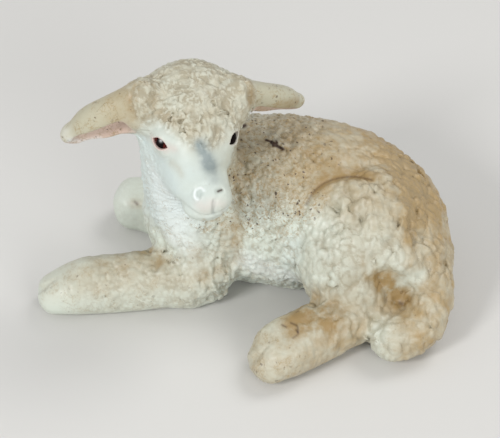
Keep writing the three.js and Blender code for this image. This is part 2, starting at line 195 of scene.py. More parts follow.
def spline(values, count):
    """Points on a smooth curve through the values."""
    values = np.array(values, float)
    ends = np.vstack([2 * values[0] - values[1], values, 2 * values[-1] - values[-2]])
    t = np.linspace(0, len(values) - 1, count)
    i = np.minimum(t.astype(int), len(values) - 2)
    f = (t - i)[:, None]
    p0, p1, p2, p3 = (ends[i + k] for k in range(4))
    square = 2 * p0 - 5 * p1 + 4 * p2 - p3
    cube = 3 * p1 - p0 - 3 * p2 + p3
    return (2 * p1 + (p2 - p0) * f + square * f**2 + cube * f**3) / 2


def loft(stations, across, start_dome, end_dome):
    """stations: centre, half width along across, half height. Returns points and triangles."""
    centres = spline([s[0] for s in stations], LOFT_RINGS)
    sizes = spline([[s[1], s[2]] for s in stations], LOFT_RINGS)
    tangents = np.gradient(centres, axis=0)
    tangents /= np.linalg.norm(tangents, axis=1)[:, None]
    angle = np.arange(LOFT_SIDES) / LOFT_SIDES * 2 * math.pi
    rings = []

    def ring(k, shrink, shift):
        side = unit(across - tangents[k] * (across @ tangents[k]))
        rise = np.cross(tangents[k], side)
        wide = np.outer(np.cos(angle) * sizes[k, 0] * shrink, side)
        tall = np.outer(np.sin(angle) * sizes[k, 1] * shrink, rise)
        rings.append(centres[k] + tangents[k] * shift + wide + tall)

    start_length = min(sizes[0]) * start_dome
    end_length = min(sizes[-1]) * end_dome
    turns = np.linspace(0, math.pi / 2, DOME_RINGS + 1)[1:-1]
    for a in turns[::-1]:
        ring(0, math.cos(a), -math.sin(a) * start_length)
    for k in range(LOFT_RINGS):
        ring(k, 1, 0)
    for a in turns:
        ring(LOFT_RINGS - 1, math.cos(a), math.sin(a) * end_length)
    tips = [centres[0] - tangents[0] * start_length, centres[-1] + tangents[-1] * end_length]
    points = np.vstack(rings + tips)
    k = np.arange(LOFT_SIDES)
    n = (k + 1) % LOFT_SIDES
    base = np.arange(len(rings) - 1)[:, None] * LOFT_SIDES
    a, b = (base + k).ravel(), (base + n).ravel()
    top = (len(rings) - 1) * LOFT_SIDES
    start_tip = np.full(LOFT_SIDES, len(points) - 2)
    faces = [
        np.stack([a, b, a + LOFT_SIDES], 1),
        np.stack([b, b + LOFT_SIDES, a + LOFT_SIDES], 1),
        np.stack([start_tip, n, k], 1),
        np.stack([start_tip + 1, top + k, top + n], 1),
    ]
    return points, np.vstack(faces)


# The head's own frame, worked out from where the two eyes are
FACE_SLOPE = math.radians(34)
EYE_ALONG = 3.7
EYE_OVER = 2.53
HEAD_WIDTH = 13.9
HEAD_DEPTH = 12.3
BROW_WIDTH = 10.3
BRIDGE_WIDTH = 8.4
NOSTRIL_WIDTH = 6.9
NOSTRIL_DEPTH = 6.5
NOSTRILS_BACK = 1.4
MUZZLE_WIDTH = 6.5
MUZZLE_DEPTH = 6.2
FACE_LENGTH = 13.1
MUZZLE_START = 0.84
SKULL_DOMES = (0.9, 0.85)

eye_centre = {}
for name in EYES:
    low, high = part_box(name)
    eye_centre[name] = np.array((low + high) / 2) / MM
head_x = unit(eye_centre["eye_left"] - eye_centre["eye_right"])
head_y = unit(np.array([-head_x[1], head_x[0], 0.0]))
head_z = np.cross(head_x, head_y)
face_along = -math.cos(FACE_SLOPE) * head_y - math.sin(FACE_SLOPE) * head_z
face_over = -math.sin(FACE_SLOPE) * head_y + math.cos(FACE_SLOPE) * head_z
head_origin = (eye_centre["eye_left"] + eye_centre["eye_right"]) / 2
head_origin = head_origin - face_along * EYE_ALONG - face_over * EYE_OVER


def on_face(along, over, across=0.0):
    return head_origin + face_along * along + face_over * over + head_x * across


def face_coordinates(x, y, z):
    """Across the face to its left, along it to the nose, and over it."""
    rx, ry, rz = x - head_origin[0], y - head_origin[1], z - head_origin[2]
    return tuple(rx * v[0] + ry * v[1] + rz * v[2] for v in (head_x, face_along, face_over))


def skull():
    """Each station: along, over and across the face, then width and depth."""
    muzzle = FACE_LENGTH * MUZZLE_START
    stations = [
        (-0.2 * HEAD_DEPTH, 0, 0, 0.9 * HEAD_WIDTH, 0.88 * HEAD_DEPTH),
        (0, 0, 0, HEAD_WIDTH, HEAD_DEPTH),
        (0.28 * FACE_LENGTH, 0, -0.3, BROW_WIDTH, 0.9 * HEAD_DEPTH),
        (0.55 * FACE_LENGTH, -0.3, -0.7, BRIDGE_WIDTH, (HEAD_DEPTH + MUZZLE_DEPTH) / 2),
        (muzzle - NOSTRILS_BACK, -0.4, -0.3, NOSTRIL_WIDTH, NOSTRIL_DEPTH),
        (muzzle, -0.3, -0.1, MUZZLE_WIDTH, MUZZLE_DEPTH),
    ]
    return loft([(on_face(*at), wide / 2, deep / 2) for *at, wide, deep in stations], head_x, *SKULL_DOMES)


# Ears: leaves with a hollow. The two are not alike: droop, roll, thickness and height of the root
EAR_LENGTH = 11.3
EAR_WIDTH = 6.5
EAR_THICKNESS = 4.2
EAR_WALL = 0.7
EAR_SWEEP = math.radians(20)
EAR_DROOP = {LEFT: math.radians(30), RIGHT: math.radians(34)}
EAR_ROLL = {LEFT: math.radians(44), RIGHT: math.radians(20)}
EAR_FULLNESS = {LEFT: 0.88, RIGHT: 1.1}
EAR_LIFT = {LEFT: -0.35, RIGHT: 0.75}
EAR_ROOT = (HEAD_WIDTH / 2 * 0.98, 0.7, HEAD_DEPTH * 0.16)
EAR_DOMES = (0.6, 1.6)
EAR_SMOOTHING = 0.12
EAR_RIM = 0.35
HOLLOW_SHIFT = (1.5, -1.8, -0.55)
HOLLOW_NARROWER = 0.7
# Each station: towards the tip, back and up the leaf, then share of the thickness and of the width
LEAF = [
    (-1.6, 0.2, 0, 0.95, 0.94),
    (EAR_LENGTH * 0.28, 0, 0, 1, 1),
    (EAR_LENGTH * 0.58, 0.1, -0.1, 0.96, 0.94),
    (EAR_LENGTH * 0.84, 0.2, -0.3, 0.66, 0.58),
]


def ear_axes(side):
    """Root, then the ways to the tip, to the back of the ear, and up the leaf."""
    droop, roll, sweep = EAR_DROOP[side], EAR_ROLL[side], side * EAR_SWEEP
    x, z = side * math.cos(droop), -math.sin(droop)
    tip = np.array([math.cos(sweep) * x, math.sin(sweep) * x, z])
    back = np.array([0, math.cos(roll), math.sin(roll)])
    back = unit(back - tip * (back @ tip))
    up = np.cross(tip, back) * side
    root = np.array([side * EAR_ROOT[0], EAR_ROOT[1], EAR_ROOT[2] + EAR_LIFT[side]])
    to_world = np.array([head_x, head_y, head_z])
    return head_origin + root @ to_world, tip @ to_world, back @ to_world, up @ to_world


def leaf(side, grow, shift=(0, 0, 0), narrower=0.0):
    root, *axes = ear_axes(side)
    wide = EAR_WIDTH / 2 + grow - narrower
    thick = EAR_THICKNESS * EAR_FULLNESS[side] / 2 + grow
    stations = []
    for *at, thickness, width in LEAF:
        centre = root + sum(axis * (a + s) for axis, a, s in zip(axes, at, shift))
        stations.append((centre, thick * thickness, wide * width))
    return loft(stations, axes[1], *EAR_DOMES)


# Distances to all the pieces
SMOOTHING = 0.5
fields = {name: distance_to(*node_mesh(name), SMOOTHING) for name in MOULDINGS}
fields["head"] = distance_to(*skull(), 0)
hollows = {}
for name, side in EARS.items():
    outer = distance_to(*leaf(side, 0), EAR_SMOOTHING)
    hollows[name] = distance_to(*leaf(side, -EAR_WALL, HOLLOW_SHIFT, HOLLOW_NARROWER), EAR_SMOOTHING)
    fields[name] = soft_cut(outer, hollows[name], EAR_RIM)
names = sorted(fields)

# How softly each piece runs into what is beside it. The head, thigh and tail change over a span
HEAD_JOIN, HEAD_JOIN_RIGHT, MUZZLE_JOIN = 2.2, 4.5, 1.3
THIGH_JOIN, THIGH_JOIN_REAR = 2.2, 4.4
TAIL_JOIN, TAIL_JOIN_REAR = 1.5, 3.3
HEAD_SIDE_SPAN = (1.5, -2.5)
MUZZLE_SPAN = (8.5, 12.0)
THIGH_SPAN = (14.0, 19.0)
TAIL_SPAN = (20.5, 25.0)
face_x, face_d, _ = face_coordinates(GX, GY, GZ)
head_join = between(HEAD_JOIN, HEAD_JOIN_RIGHT, HEAD_SIDE_SPAN, face_x)
joins = {
    "head": between(head_join, MUZZLE_JOIN, MUZZLE_SPAN, face_d),
    "ear_left": 2.6,
    "ear_right": 2.6,
    "foreleg_left": 2.3,
    "foreleg_right": 1.5,
    "hind_leg_left": between(THIGH_JOIN, THIGH_JOIN_REAR, THIGH_SPAN, GX),
    "hind_leg_right": 1.8,
    "tail": between(TAIL_JOIN, TAIL_JOIN_REAR, TAIL_SPAN, GX),
}
form = fields["body"]
for name, join in joins.items():
    form = soft_union(form, fields[name], join)

# From the picture to the form
RAY_SPAN = 45
RAY_STEP = 0.1
LINE_DENSITY = 8
PAINT_DEPTH = 1.0
DEPTH_FADE = 4
SOFT_REACH = 2.6


def sample(array, points):
    """Straight-line interpolation of a shared-grid array at points."""
    t = np.asarray(points, float) / VOXEL - first
    i = np.clip(np.floor(t).astype(int), 0, np.array(shape) - 2)
    f = np.clip(t - i, 0, 1)
    out = 0
    for corner in CORNERS:
        x, y, z = (i[:, k] + corner[k] for k in range(3))
        out = out + corner_weight(f, corner) * array[x, y, z]
    return out


def camera_ray(u, v):
    """The way from the camera through a point of the picture."""
    ray = -camera_back + camera_right * (u - PICTURE_WIDTH / 2) / FOCAL_PIXELS
    return unit(ray - camera_up * (v - PICTURE_HEIGHT / 2) / FOCAL_PIXELS)


def on_form(u, v):
    """Where the camera's ray through a point of the picture first meets the form."""
    steps = np.arange(CAMERA_DISTANCE - RAY_SPAN, CAMERA_DISTANCE + RAY_SPAN, RAY_STEP)
    points = camera_eye + steps[:, None] * camera_ray(u, v)
    values = sample(form, points)
    inside = np.nonzero(values < 0)[0]
    return points[inside[0]] if len(inside) else points[np.argmin(values)]


def on_line(pixels):
    """A smooth line over the form through points of the picture."""
    return spline([on_form(u, v) for u, v in pixels], LINE_DENSITY * len(pixels))


def mirrored(points):
    """Points moved to the same place on the other side of the face."""
    x, along, over = face_coordinates(*points.T)
    return np.array([on_face(a, o, -across) for across, a, o in zip(x, along, over)])


def near(points, line):
    """Squared distance from each of points to the nearest point of a line."""
    best = np.full(len(points), FAR)
    for q in line:
        best = np.minimum(best, ((points - q) ** 2).sum(1))
    return best


def beside(points, line):
    """Squared distance of points from the camera's rays through a line, near the line's own depth."""
    best = np.full(len(points), FAR)
    for q in line:
        offset = points - q
        deep = offset @ unit(q - camera_eye)
        past = np.maximum(np.abs(deep) - PAINT_DEPTH, 0)
        best = np.minimum(best, (offset**2).sum(1) - deep**2 + DEPTH_FADE * past**2)
    return best


def press(field, axes, line, width, height):
    """Raises (or, negative, lowers) a field's surface along a line, over a soft width."""
    low = np.array([a[0] for a in axes])
    step = axes[0][1] - axes[0][0]
    reach = SOFT_REACH * width
    a = np.maximum(np.floor((line.min(0) - reach - low) / step).astype(int), 0)
    b = np.minimum(np.ceil((line.max(0) + reach - low) / step).astype(int) + 1, field.shape)
    if (b > a).all():
        x, y, z = np.meshgrid(*(axes[k][a[k]:b[k]] for k in range(3)), indexing="ij", sparse=True)
        nearest = np.full(tuple(b - a), FAR)
        for q in line:
            nearest = np.minimum(nearest, (x - q[0]) ** 2 + (y - q[1]) ** 2 + (z - q[2]) ** 2)
        field[block(a, b)] -= height * np.exp(-nearest / width**2)


# Lines drawn over the photograph, in its pixels, each with a soft width and a height in mm.
# Swellings correct the broad form, and the pocket is the dip between thigh, rump and tail
SWELLINGS = {
    "belly_end": ([(282, 285), (298, 286)], 1.5, 0.5),
    "thigh": ([(312, 212), (325, 197), (345, 190), (368, 194)], 1.8, 0.45),
    "pocket": ([(386, 284), (391, 290), (396, 297)], 1.8, -2.1),
    "foreleg": ([(88, 266), (108, 263), (132, 261)], 2.1, 1.25),
    "shank": ([(264, 334), (282, 322), (302, 312)], 1.6, 0.9),
    "elbow": ([(204, 304), (217, 299), (228, 291)], 1.5, -0.75),
    "belly": ([(240, 280), (255, 283)], 1.5, -0.6),
    "cap_right": ([(144, 88), (139, 98), (138, 110), (140, 122)], 1.7, 0.8),
    "cap_left": ([(237, 86), (241, 97), (241, 110), (237, 121)], 1.7, 0.8),
}
FOLD = [(296, 228), (301, 217), (306, 205), (313, 193), (325, 183), (340, 178), (357, 177), (372, 180), (385, 187)]
STROKES = {
    "pocket_pit": ([(397, 301), (401, 304)], 0.5, -0.4),
    "thigh_fold": (FOLD, 0.32, -0.65),
    "tail_fold": ([(372, 331), (388, 317), (402, 308)], 0.45, -0.5),
    "neck_crease": ([(236, 196), (237, 215), (236, 240), (233, 262)], 0.8, -0.5),
    "cap_end_right": ([(136, 83), (132, 94), (131, 107), (134, 119)], 0.5, -0.35),
    "cap_end_left": ([(247, 84), (250, 94), (250, 104)], 0.5, -0.35),
    "front_cleft": ([(35, 290), (39, 289.5), (44, 287)], 0.4, -0.8),
    "front_cleft_top": ([(44, 287), (54, 280)], 0.3, -0.2),
    "hind_cleft": ([(246, 363), (251, 361), (256, 357)], 0.4, -0.8),
    "hind_cleft_top": ([(256, 357), (266, 348)], 0.3, -0.2),
    "hoof_step": ([(67, 281), (72, 286), (73, 293)], 0.5, 0.18),
    "hoof_step_foot": ([(62, 283), (66, 289), (67, 295)], 0.4, -0.12),
    "nostril_wing": ([(196, 200), (194.5, 194), (197, 188.5), (203, 188.5)], 0.26, 0.36),
    "nostril": ([(198.5, 197), (199, 193), (202, 191.5)], 0.26, -0.65),
    "far_nostril": ([(217.5, 191.5), (221.5, 190)], 0.22, -0.95),
    "far_nostril_foot": ([(220, 194), (217.5, 198), (215.5, 201)], 0.28, -0.08),
    "far_wing": ([(226, 195), (226.5, 201), (223, 206)], 0.9, 0.22),
    "philtrum": ([(214.5, 201), (213.5, 206), (213, 213)], 0.2, -0.32),
    "mouth": ([(189, 209), (196, 214), (205, 216.3), (213, 214.5), (220, 212.5), (227.5, 206.5)], 0.22, -0.62),
    "lip": ([(201, 208), (207, 209.5)], 0.8, 0.14),
    "jaw": ([(174, 196), (182, 204), (190, 212)], 0.5, -0.3),
    "brow_wrinkle_inner": ([(217.5, 128), (215, 140)], 0.22, -0.16),
    "brow_wrinkle_middle": ([(223, 127), (220, 141)], 0.22, -0.16),
    "brow_wrinkle_outer": ([(228.5, 126), (226, 138)], 0.22, -0.14),
}
# Strokes beside the lamb's right eye, which are mirrored beside the left one
EYE_STROKES = {
    "lid_fold": ([(141, 131), (149, 131.5), (157, 135)], 0.22, -0.2),
    "upper_lid": ([(143, 134), (150, 134.5), (156, 138)], 0.24, 0.14),
    "lower_lid": ([(148, 140), (152, 147), (159, 152.5), (168, 153.5)], 0.3, 0.14),
    "under_eye": ([(145, 143), (149, 151), (158, 158), (169, 158.5)], 0.3, -0.12),
}
# Paint by its colour, each line with a soft width in mm and a strength. Some of it is painted light and shade, as said
# at each colour
PAINTS = {
    # Ochre: stains in the streaks and on the flank, rump and cheek; in the pocket and its pit, along the thigh's fold,
    # in the neck's crease and on its right side, at the elbow, along the cap's edges, at the left ear's lower edge and
    # under the chin it is painted shade
    "ochre_and_shade": {
        "pocket": ([(385, 282), (391, 289), (396, 298)], 2.1, 1.25),
        "pocket_pit": ([(399, 303), (404, 300)], 0.7, 0.5),
        "fold": (FOLD[3:8], 0.36, 1.0),
        "above_fold": ([(318, 182), (330, 175), (345, 172), (360, 172), (376, 176)], 0.85, 0.9),
        "fold_foot": ([(298, 214), (303, 203), (310, 191)], 0.5, 0.45),
        "thigh_streak": ([(363, 264), (366, 278)], 0.4, 0.55),
        "pocket_streak": ([(374, 271), (377, 290)], 0.45, 0.55),
        "neck_crease": ([(239, 182), (240, 200), (237, 225), (235, 262)], 0.9, 0.6),
        "behind_head": ([(243, 128), (247, 150), (247, 172)], 2.2, 0.4),
        "flank": ([(256, 190), (275, 200), (290, 196)], 1.9, 0.35),
        "upper_flank": ([(285, 170), (310, 160), (325, 165)], 1.6, 0.3),
        "elbow": ([(142, 252), (151, 256), (160, 263)], 1.0, 0.75),
        "elbow_top": ([(150, 248), (160, 251)], 0.3, 0.5),
        "foreleg": ([(100, 268), (112, 262), (128, 266)], 1.1, 0.3),
        "knee": ([(133, 203), (138, 205)], 0.7, 0.5),
        "shank_top": ([(300, 312), (318, 305), (333, 312)], 2.1, 0.95),
        "shank": ([(292, 330), (312, 326), (330, 330)], 1.8, 0.85),
        "rump": ([(415, 300), (428, 285), (436, 262)], 1.3, 0.4),
        "cap": ([(151, 104), (158, 112), (170, 118)], 0.9, 0.4),
        "cap_end_right": ([(135, 84), (131, 95), (130, 107), (133, 118)], 0.5, 0.6),
        "cap_end_left": ([(248, 85), (251, 95), (251, 104)], 0.5, 0.6),
        "left_ear": ([(262, 107), (280, 106), (296, 102)], 0.7, 0.6),
        "cheek": ([(172, 163), (179, 169), (182, 175)], 0.45, 0.25),
        "chin": ([(204, 220), (210, 221), (217, 218), (223, 213)], 0.22, 0.5),
        "neck": ([(222, 224), (225, 242), (222, 264)], 1.3, 0.35),
        "neck_foot": ([(196, 256), (203, 270)], 1.5, 0.5),
    },
    # Slate grey: the bridge's smear is blue-grey paint, made darker as painted shade; on the bridge's right side, in
    # the philtrum and in the nostril's hollow it is painted shade
    "slate_and_shade": {
        "bridge": ([(201, 145), (204, 154), (208, 165)], 0.85, 1.5),
        "bridge_side": ([(212, 160), (215, 178)], 0.9, 0.6),
        "philtrum": ([(214, 202), (213.5, 208), (213, 213)], 0.2, 0.5),
        "nostril": ([(199, 196.5), (200.5, 193)], 0.24, 0.4),
    },
    "pink": {
        "lip": ([(200, 205), (206, 207), (210, 204)], 0.8, 0.3),
        "far_lip": ([(219, 203), (223, 204)], 0.6, 0.2),
        "eye_corner": ([(169, 147), (174, 149)], 0.5, 0.35),
        "eye": ([(153, 136), (157, 144), (166, 151)], 0.4, 0.25),
    },
    # A cool bluish tint: partly the paint's own tone, partly painted light on the lit left side of the neck and on the
    # throat
    "cool": {
        "neck_side": ([(145, 150), (148, 180), (152, 210)], 2.2, 0.8),
        "throat": ([(160, 168), (168, 185), (180, 205)], 2.0, 0.6),
        "thigh_front": ([(294, 245), (291, 265), (296, 282)], 1.6, 0.6),
        "nose": ([(195, 172), (205, 185), (200, 198)], 2.0, 0.5),
    },
    # Dark brown: the fleck, the speck beside the eye and the hoof's marks are dirt; in the thigh's fold, the pocket's
    # pit and the far nostril's slit it is painted shade
    "soot_and_shade": {
        "fold": (FOLD[2:8], 0.16, 0.6),
        "fleck": ([(266, 140), (272, 142), (275, 144)], 0.15, 1.4),
        "fleck_end": ([(272, 143), (277, 146), (283, 149)], 0.19, 1.5),
        "fleck_cross": ([(273, 146), (277, 143), (276, 141)], 0.15, 1.2),
        "beside_eye": ([(243, 126.5), (245, 125.5)], 0.25, 1.2),
        "knee": ([(135, 202), (137, 204)], 0.22, 0.6),
        "pocket_pit": ([(400, 303), (402, 304)], 0.3, 0.6),
        "hoof_mark": ([(282, 325), (286, 327)], 0.14, 0.6),
        "hoof_hook": ([(291, 323), (297, 326), (298, 332)], 0.14, 0.6),
        "hoof_tick": ([(293, 338), (298, 334), (296, 330)], 0.13, 0.5),
        "far_nostril": ([(218, 191.5), (221.5, 190)], 0.17, 1.0),
    },
    # Painted light: highlights on the nostril's rim and the ear's tip and lower rim, and lit patches on the knee,
    # throat and belly
    "painted_light": {
        "nostril_rim": (
            [(197.5, 199.5), (195, 197), (194.8, 193), (197, 189.5), (201, 188), (203.8, 190.6)], 0.17, 1.0,
        ),
        "ear_tip": ([(65, 131), (64, 136), (68, 139)], 0.8, 0.35),
        "ear_rim": ([(70, 141), (84, 141), (100, 138)], 0.3, 0.5),
        "knee": ([(120, 194), (129, 212)], 1.8, 0.15),
        "throat": ([(158, 180), (170, 208), (178, 238)], 2.8, 0.6),
        "belly": ([(248, 262), (270, 272), (288, 278)], 1.8, 0.5),
    },
}
CAP_EDGE = [(133, 116), (144, 122.5), (160, 124), (172, 133), (187, 143), (204, 149), (219, 142), (231, 129)]
GLINT_PIXEL = (161, 140.5)

swellings = {name: (on_line(pixels), width, height) for name, (pixels, width, height) in SWELLINGS.items()}
for line, width, height in swellings.values():
    press(form, grid_axes, line, width, height)

strokes = [(on_line(pixels), width, height) for pixels, width, height in STROKES.values()]
for pixels, width, height in EYE_STROKES.values():
    line = on_line(pixels)
    strokes += [(line, width, height), (mirrored(line), width, height)]
paints = []
for kind, lines in PAINTS.items():
    paints += [(kind, on_line(pixels), width, strength) for pixels, width, strength in lines.values()]

# The eyes: lids round an almond-shaped opening. Directions are outwards, along and over the face
ALMOND_HALF_LENGTH = 1.22
ALMOND_HALF_WIDTH = 0.72
ALMOND_SLOPE = 0.8
LID_RADIUS = 1.55
LID_JOIN = 1.3
LID_REACH = 3
EYE_RADIUS = 1.2
EYE_FLOOR = 0.3
LOOK_OUT = unit(np.array([0.72, 0.416, 0.55]))
ALMOND_LONG = np.array([-0.55, 0.7, 0.357])
ALMOND_LONG = unit(ALMOND_LONG - LOOK_OUT * (ALMOND_LONG @ LOOK_OUT))
ALMOND_SHORT = np.cross(LOOK_OUT, ALMOND_LONG)
# The two are not quite mirror images
EYE_MOVES = {LEFT: (-0.75, 0.4, 0.0), RIGHT: (0.3, -0.4, 0.0)}
EYE_BULGE = {LEFT: 0.3, RIGHT: 0.05}
EYE_REDNESS = {LEFT: 0.4, RIGHT: 1.0}
LID_PINK = {LEFT: 0.3, RIGHT: 0.8}
LID_PINK_WIDTH = 0.22


def face_direction(side, direction):
    """The way in the world of a direction given as outwards, along and over the face."""
    return head_x * side * direction[0] + face_along * direction[1] + face_over * direction[2]


eye_middle = {side: eye_centre[name] + face_direction(side, EYE_MOVES[side]) for name, side in EYES.items()}


def from_eye(side, x, y, z):
    """Along the almond's length, across it, and out of the eye."""
    rx, ry, rz = x - eye_middle[side][0], y - eye_middle[side][1], z - eye_middle[side][2]
    ways = [face_direction(side, v) for v in (ALMOND_LONG, ALMOND_SHORT, LOOK_OUT)]
    return tuple(rx * v[0] + ry * v[1] + rz * v[2] for v in ways)


def almond(side, x, y, z):
    """The opening between the lids, below 0 inside it, and how far out of the eye a point is."""
    s, t, n = from_eye(side, x, y, z)
    edge = (np.abs(t) - ALMOND_HALF_WIDTH * (1 - (s / ALMOND_HALF_LENGTH) ** 2)) * ALMOND_SLOPE
    return np.maximum(edge, np.abs(s) - ALMOND_HALF_LENGTH), n


for side in (LEFT, RIGHT):
    s, t, n = from_eye(side, GX, GY, GZ)
    lid = np.sqrt(s * s + t * t + n * n) - LID_RADIUS
    form = np.where(lid < LID_REACH, soft_union(form, np.minimum(lid, BAND), LID_JOIN), form)

# Noise
HASH = (0x8DA6B343, 0xD8163841, 0xCB1AB31F, 0x5BD1E995, 0x27D4EB2D)
SALT_STEP, SALT_START = 7919, 17
PART_BITS = (0, 10, 20)
PART_MOST = 1023
NOISE_GAIN = 1.25
GAP_WIDTH = 0.3


def scrambled(ix, iy, iz, salt):
    h = ix.astype(np.uint32) * np.uint32(HASH[0])
    h ^= iy.astype(np.uint32) * np.uint32(HASH[1])
    h ^= iz.astype(np.uint32) * np.uint32(HASH[2])
    h ^= np.uint32(salt * SALT_STEP + SALT_START)
    h ^= h >> np.uint32(13)
    h *= np.uint32(HASH[3])
    h ^= h >> np.uint32(15)
    h *= np.uint32(HASH[4])
    h ^= h >> np.uint32(13)
    return h


def random_parts(i, step, salt):
    """Three random numbers from 0 to 1 for the cell one step away from each cell."""
    h = scrambled(*(i[:, k] + step[k] for k in range(3)), salt)
    return [((h >> np.uint32(bits)) & np.uint32(PART_MOST)).astype(np.float32) / PART_MOST for bits in PART_BITS]


def noise(p, salt):
    """Gradient noise at points already divided by its scale; about -1 to 1."""
    i = np.floor(p).astype(np.int32)
    f = (p - i).astype(np.float32)
    w = f * f * f * (f * (f * 6 - 15) + 10)
    out = np.zeros(len(p), np.float32)
    for corner in CORNERS:
        slope = random_parts(i, corner, salt)
        out += corner_weight(w, corner) * sum((2 * slope[k] - 1) * (f[:, k] - corner[k]) for k in range(3))
    return out * NOISE_GAIN


def pebbles(p, salt):
    """Round lumps that touch, at points divided by their size: the height, and how near a valley is."""
    i = np.floor(p).astype(np.int32)
    f = (p - i).astype(np.float32)
    nearest = np.full(len(p), FAR, np.float32)
    second = np.full(len(p), FAR, np.float32)
    for step in NEIGHBOURS:
        at = random_parts(i, step, salt)
        d = np.sqrt(sum((step[k] + at[k] - f[:, k]) ** 2 for k in range(3)))
        second = np.minimum(second, np.maximum(d, nearest))
        nearest = np.minimum(nearest, d)
    return 1 - nearest * nearest, 1 - smoothstep(0, GAP_WIDTH, second - nearest)


# Where each kind of texture and paint lies, on the shared grid near the surface
MASK_BAND = 1.4
SHARE_DEPTH = 3
SHARE_SOFTNESS = 0.7
JAW_SLANT = 0.25
THROAT_SLANT = -0.4
BACK_SLANT = 0.18
POCKET_REACH = 2.6
POCKET_CALM = 0.85
# Each zone: what it is measured by, where it begins, and where it is full
ZONES = {
    "cap_front": ("past cap edge", 0.9, -1.4),
    "above_jaw": ("over slanted", -2.4, 0.2),
    "nape": ("along", 1.5, -1.5),
    "between_ears": ("aside", 8.4, 7.5),
    "cap_back": ("along", 2.0, -2.5),
    "forehead": ("along", 9.5, 4.5),
    "behind_mouth": ("along", 9, 6),
    "under_jaw": ("over", 0.8, -1.2),
    "cheek": ("over", 2.5, -1.5),
    "right_cheek": ("across", -1.0, -4.0),
    "ear_root": ("aside", 13.0, 9.0),
    "neck": ("x", -3.0, -6.0),
    "throat_up": ("throat height", 13.9, 18.9),
    "not_facing_back": ("facing y", 0.6, 0.1),
    "facing_viewer": ("facing y", -0.2, -0.8),
    "facing_up": ("facing z", 0.0, 0.8),
    "facing_rear": ("facing x", 0.1, 0.7),
    "facing_right_rear": ("facing x", 0.3, 0.9),
    "off_ground": ("z", 0.4, 2.0),
    "belly": ("z", 7, 3),
    "grimy_up": ("z", 12.0, 18.0),
    "back": ("z", 15.5, 19.5),
    "crest": ("z", 20.5, 23.0),
    "saddle": ("back height", 16.56, 21.36),
    "withers": ("x", -9, -4),
    "behind_neck": ("x", -7.5, -3.5),
    "rearward": ("x", -2, 9),
    "before_rump": ("x", 14.0, 7.0),
    "towards_neck": ("x", 14.0, 2.0),
    "rump": ("x", 14.0, 20.0),
    "hoof_up": ("x", -25, -18),
    "hoof_end": ("x", -25, -20),
    "elbow": ("x", -14, -8),
    "far_elbow": ("x", -18, -10),
    "shank": ("y", -20, -15),
    "thigh": ("y", -18.5, -10),
    "thigh_rear": ("x", 3, 12),
    "thigh_outer": ("x", 9.0, 15.0),
    "thigh_front": ("x", 12, 4),
    "thigh_top": ("z", 16.0, 19.5),
    "thigh_foot": ("z", 9.0, 5.0),
    "far_thigh": ("x", 4, 10),
    "tail_wool": ("x", 9.0, 14.0),
    "tail_root": ("x", 17.0, 22.0),
}
# Each recipe is a sum of terms: a strength, the pieces it lies on (none: all), and its zones, of
# which those with a minus are left out. A recipe can be a zone of the ones after it
RECIPES = {
    "cap": [(1, "head ear_left ear_right", "cap_front upper_skull between_ears")],
    "throat": [(1, "body", "neck throat_up"), (0.8, "head", "under_jaw behind_mouth -cap")],
    "back_top": [(1, "body", "back withers")],
    "crust": [
        (1, "body", "side"), (-0.6, "body", "side crest"), (0.6, "foreleg_left", "hoof_up"),
        (0.25, "hind_leg_left", ""), (0.2, "foreleg_right", ""),
    ],
    "lumps": [
        (1, "body", "-side -throat"), (-0.6, "body", "-side -throat back_top"), (0.8, "tail", "tail_wool"),
        (0.2, "hind_leg_left", "shank"), (0.8, "hind_leg_left", "shank thigh thigh_rear"),
        (0.6, "hind_leg_right", "far_thigh"), (0.45, "foreleg_left", "elbow"),
        (0.25, "foreleg_right", "far_elbow"),
    ],
    "curl": [(1, "", "cap"), (-0.5, "", "cap cap_back")],
    # Tan is staining; on the rump's and the thigh's rear-facing sides and on the face it is also painted shade, and it
    # is weaker just behind the neck as painted light where the head's shadow falls
    "tan": [
        (0.46, "body", "behind_neck saddle"), (0.49, "body", "behind_neck saddle rearward"),
        (0.95, "body", "rump facing_rear"), (0.2, "tail", ""), (0.75, "tail", "tail_root"),
        (0.17, "hind_leg_left", ""), (0.24, "hind_leg_left", "thigh_outer"),
        (0.35, "hind_leg_left", "facing_right_rear"), (0.5, "hind_leg_left", "thigh_foot"),
        (0.4, "hind_leg_left", "thigh_top"), (0.1, "foreleg_left", ""), (0.1, "foreleg_left", "hoof_end"),
        (0.2, "foreleg_left", "facing_up"), (0.2, "foreleg_left", "facing_up hoof_end"),
        (0.04, "foreleg_right", ""), (0.14, "head", "-cap"), (0.2, "head", "-cap forehead"), (0.45, "", "cap"),
        (0.03, "ear_left", "-cap"), (0.07, "ear_left", "-cap ear_root"),
        (0.18, "ear_right", "-cap"), (0.42, "ear_right", "-cap ear_root"),
    ],
    # The cool tint over the face also darkens it as painted shade; on the belly it lies where the belly faces the
    # viewer
    "cool": [
        (0.8, "", "throat"), (0.3, "body", "belly facing_viewer"),
        (0.45, "head", "pale_cheek -cap"), (0.35, "head", "-cap"),
    ],
    "grime": [
        (1, "body", "grimy_up towards_neck behind_neck"), (0.35, "hind_leg_left", "thigh_front"),
        (0.25, "foreleg_left body", ""), (0.12, "head", ""), (0.2, "tail", ""), (0.4, "ear_left ear_right", ""),
    ],
}
RELIEF = ("lumps", "crust", "curl", "throat")
SPREAD_TRAITS = ("tan", "cool", "grime", "cap")

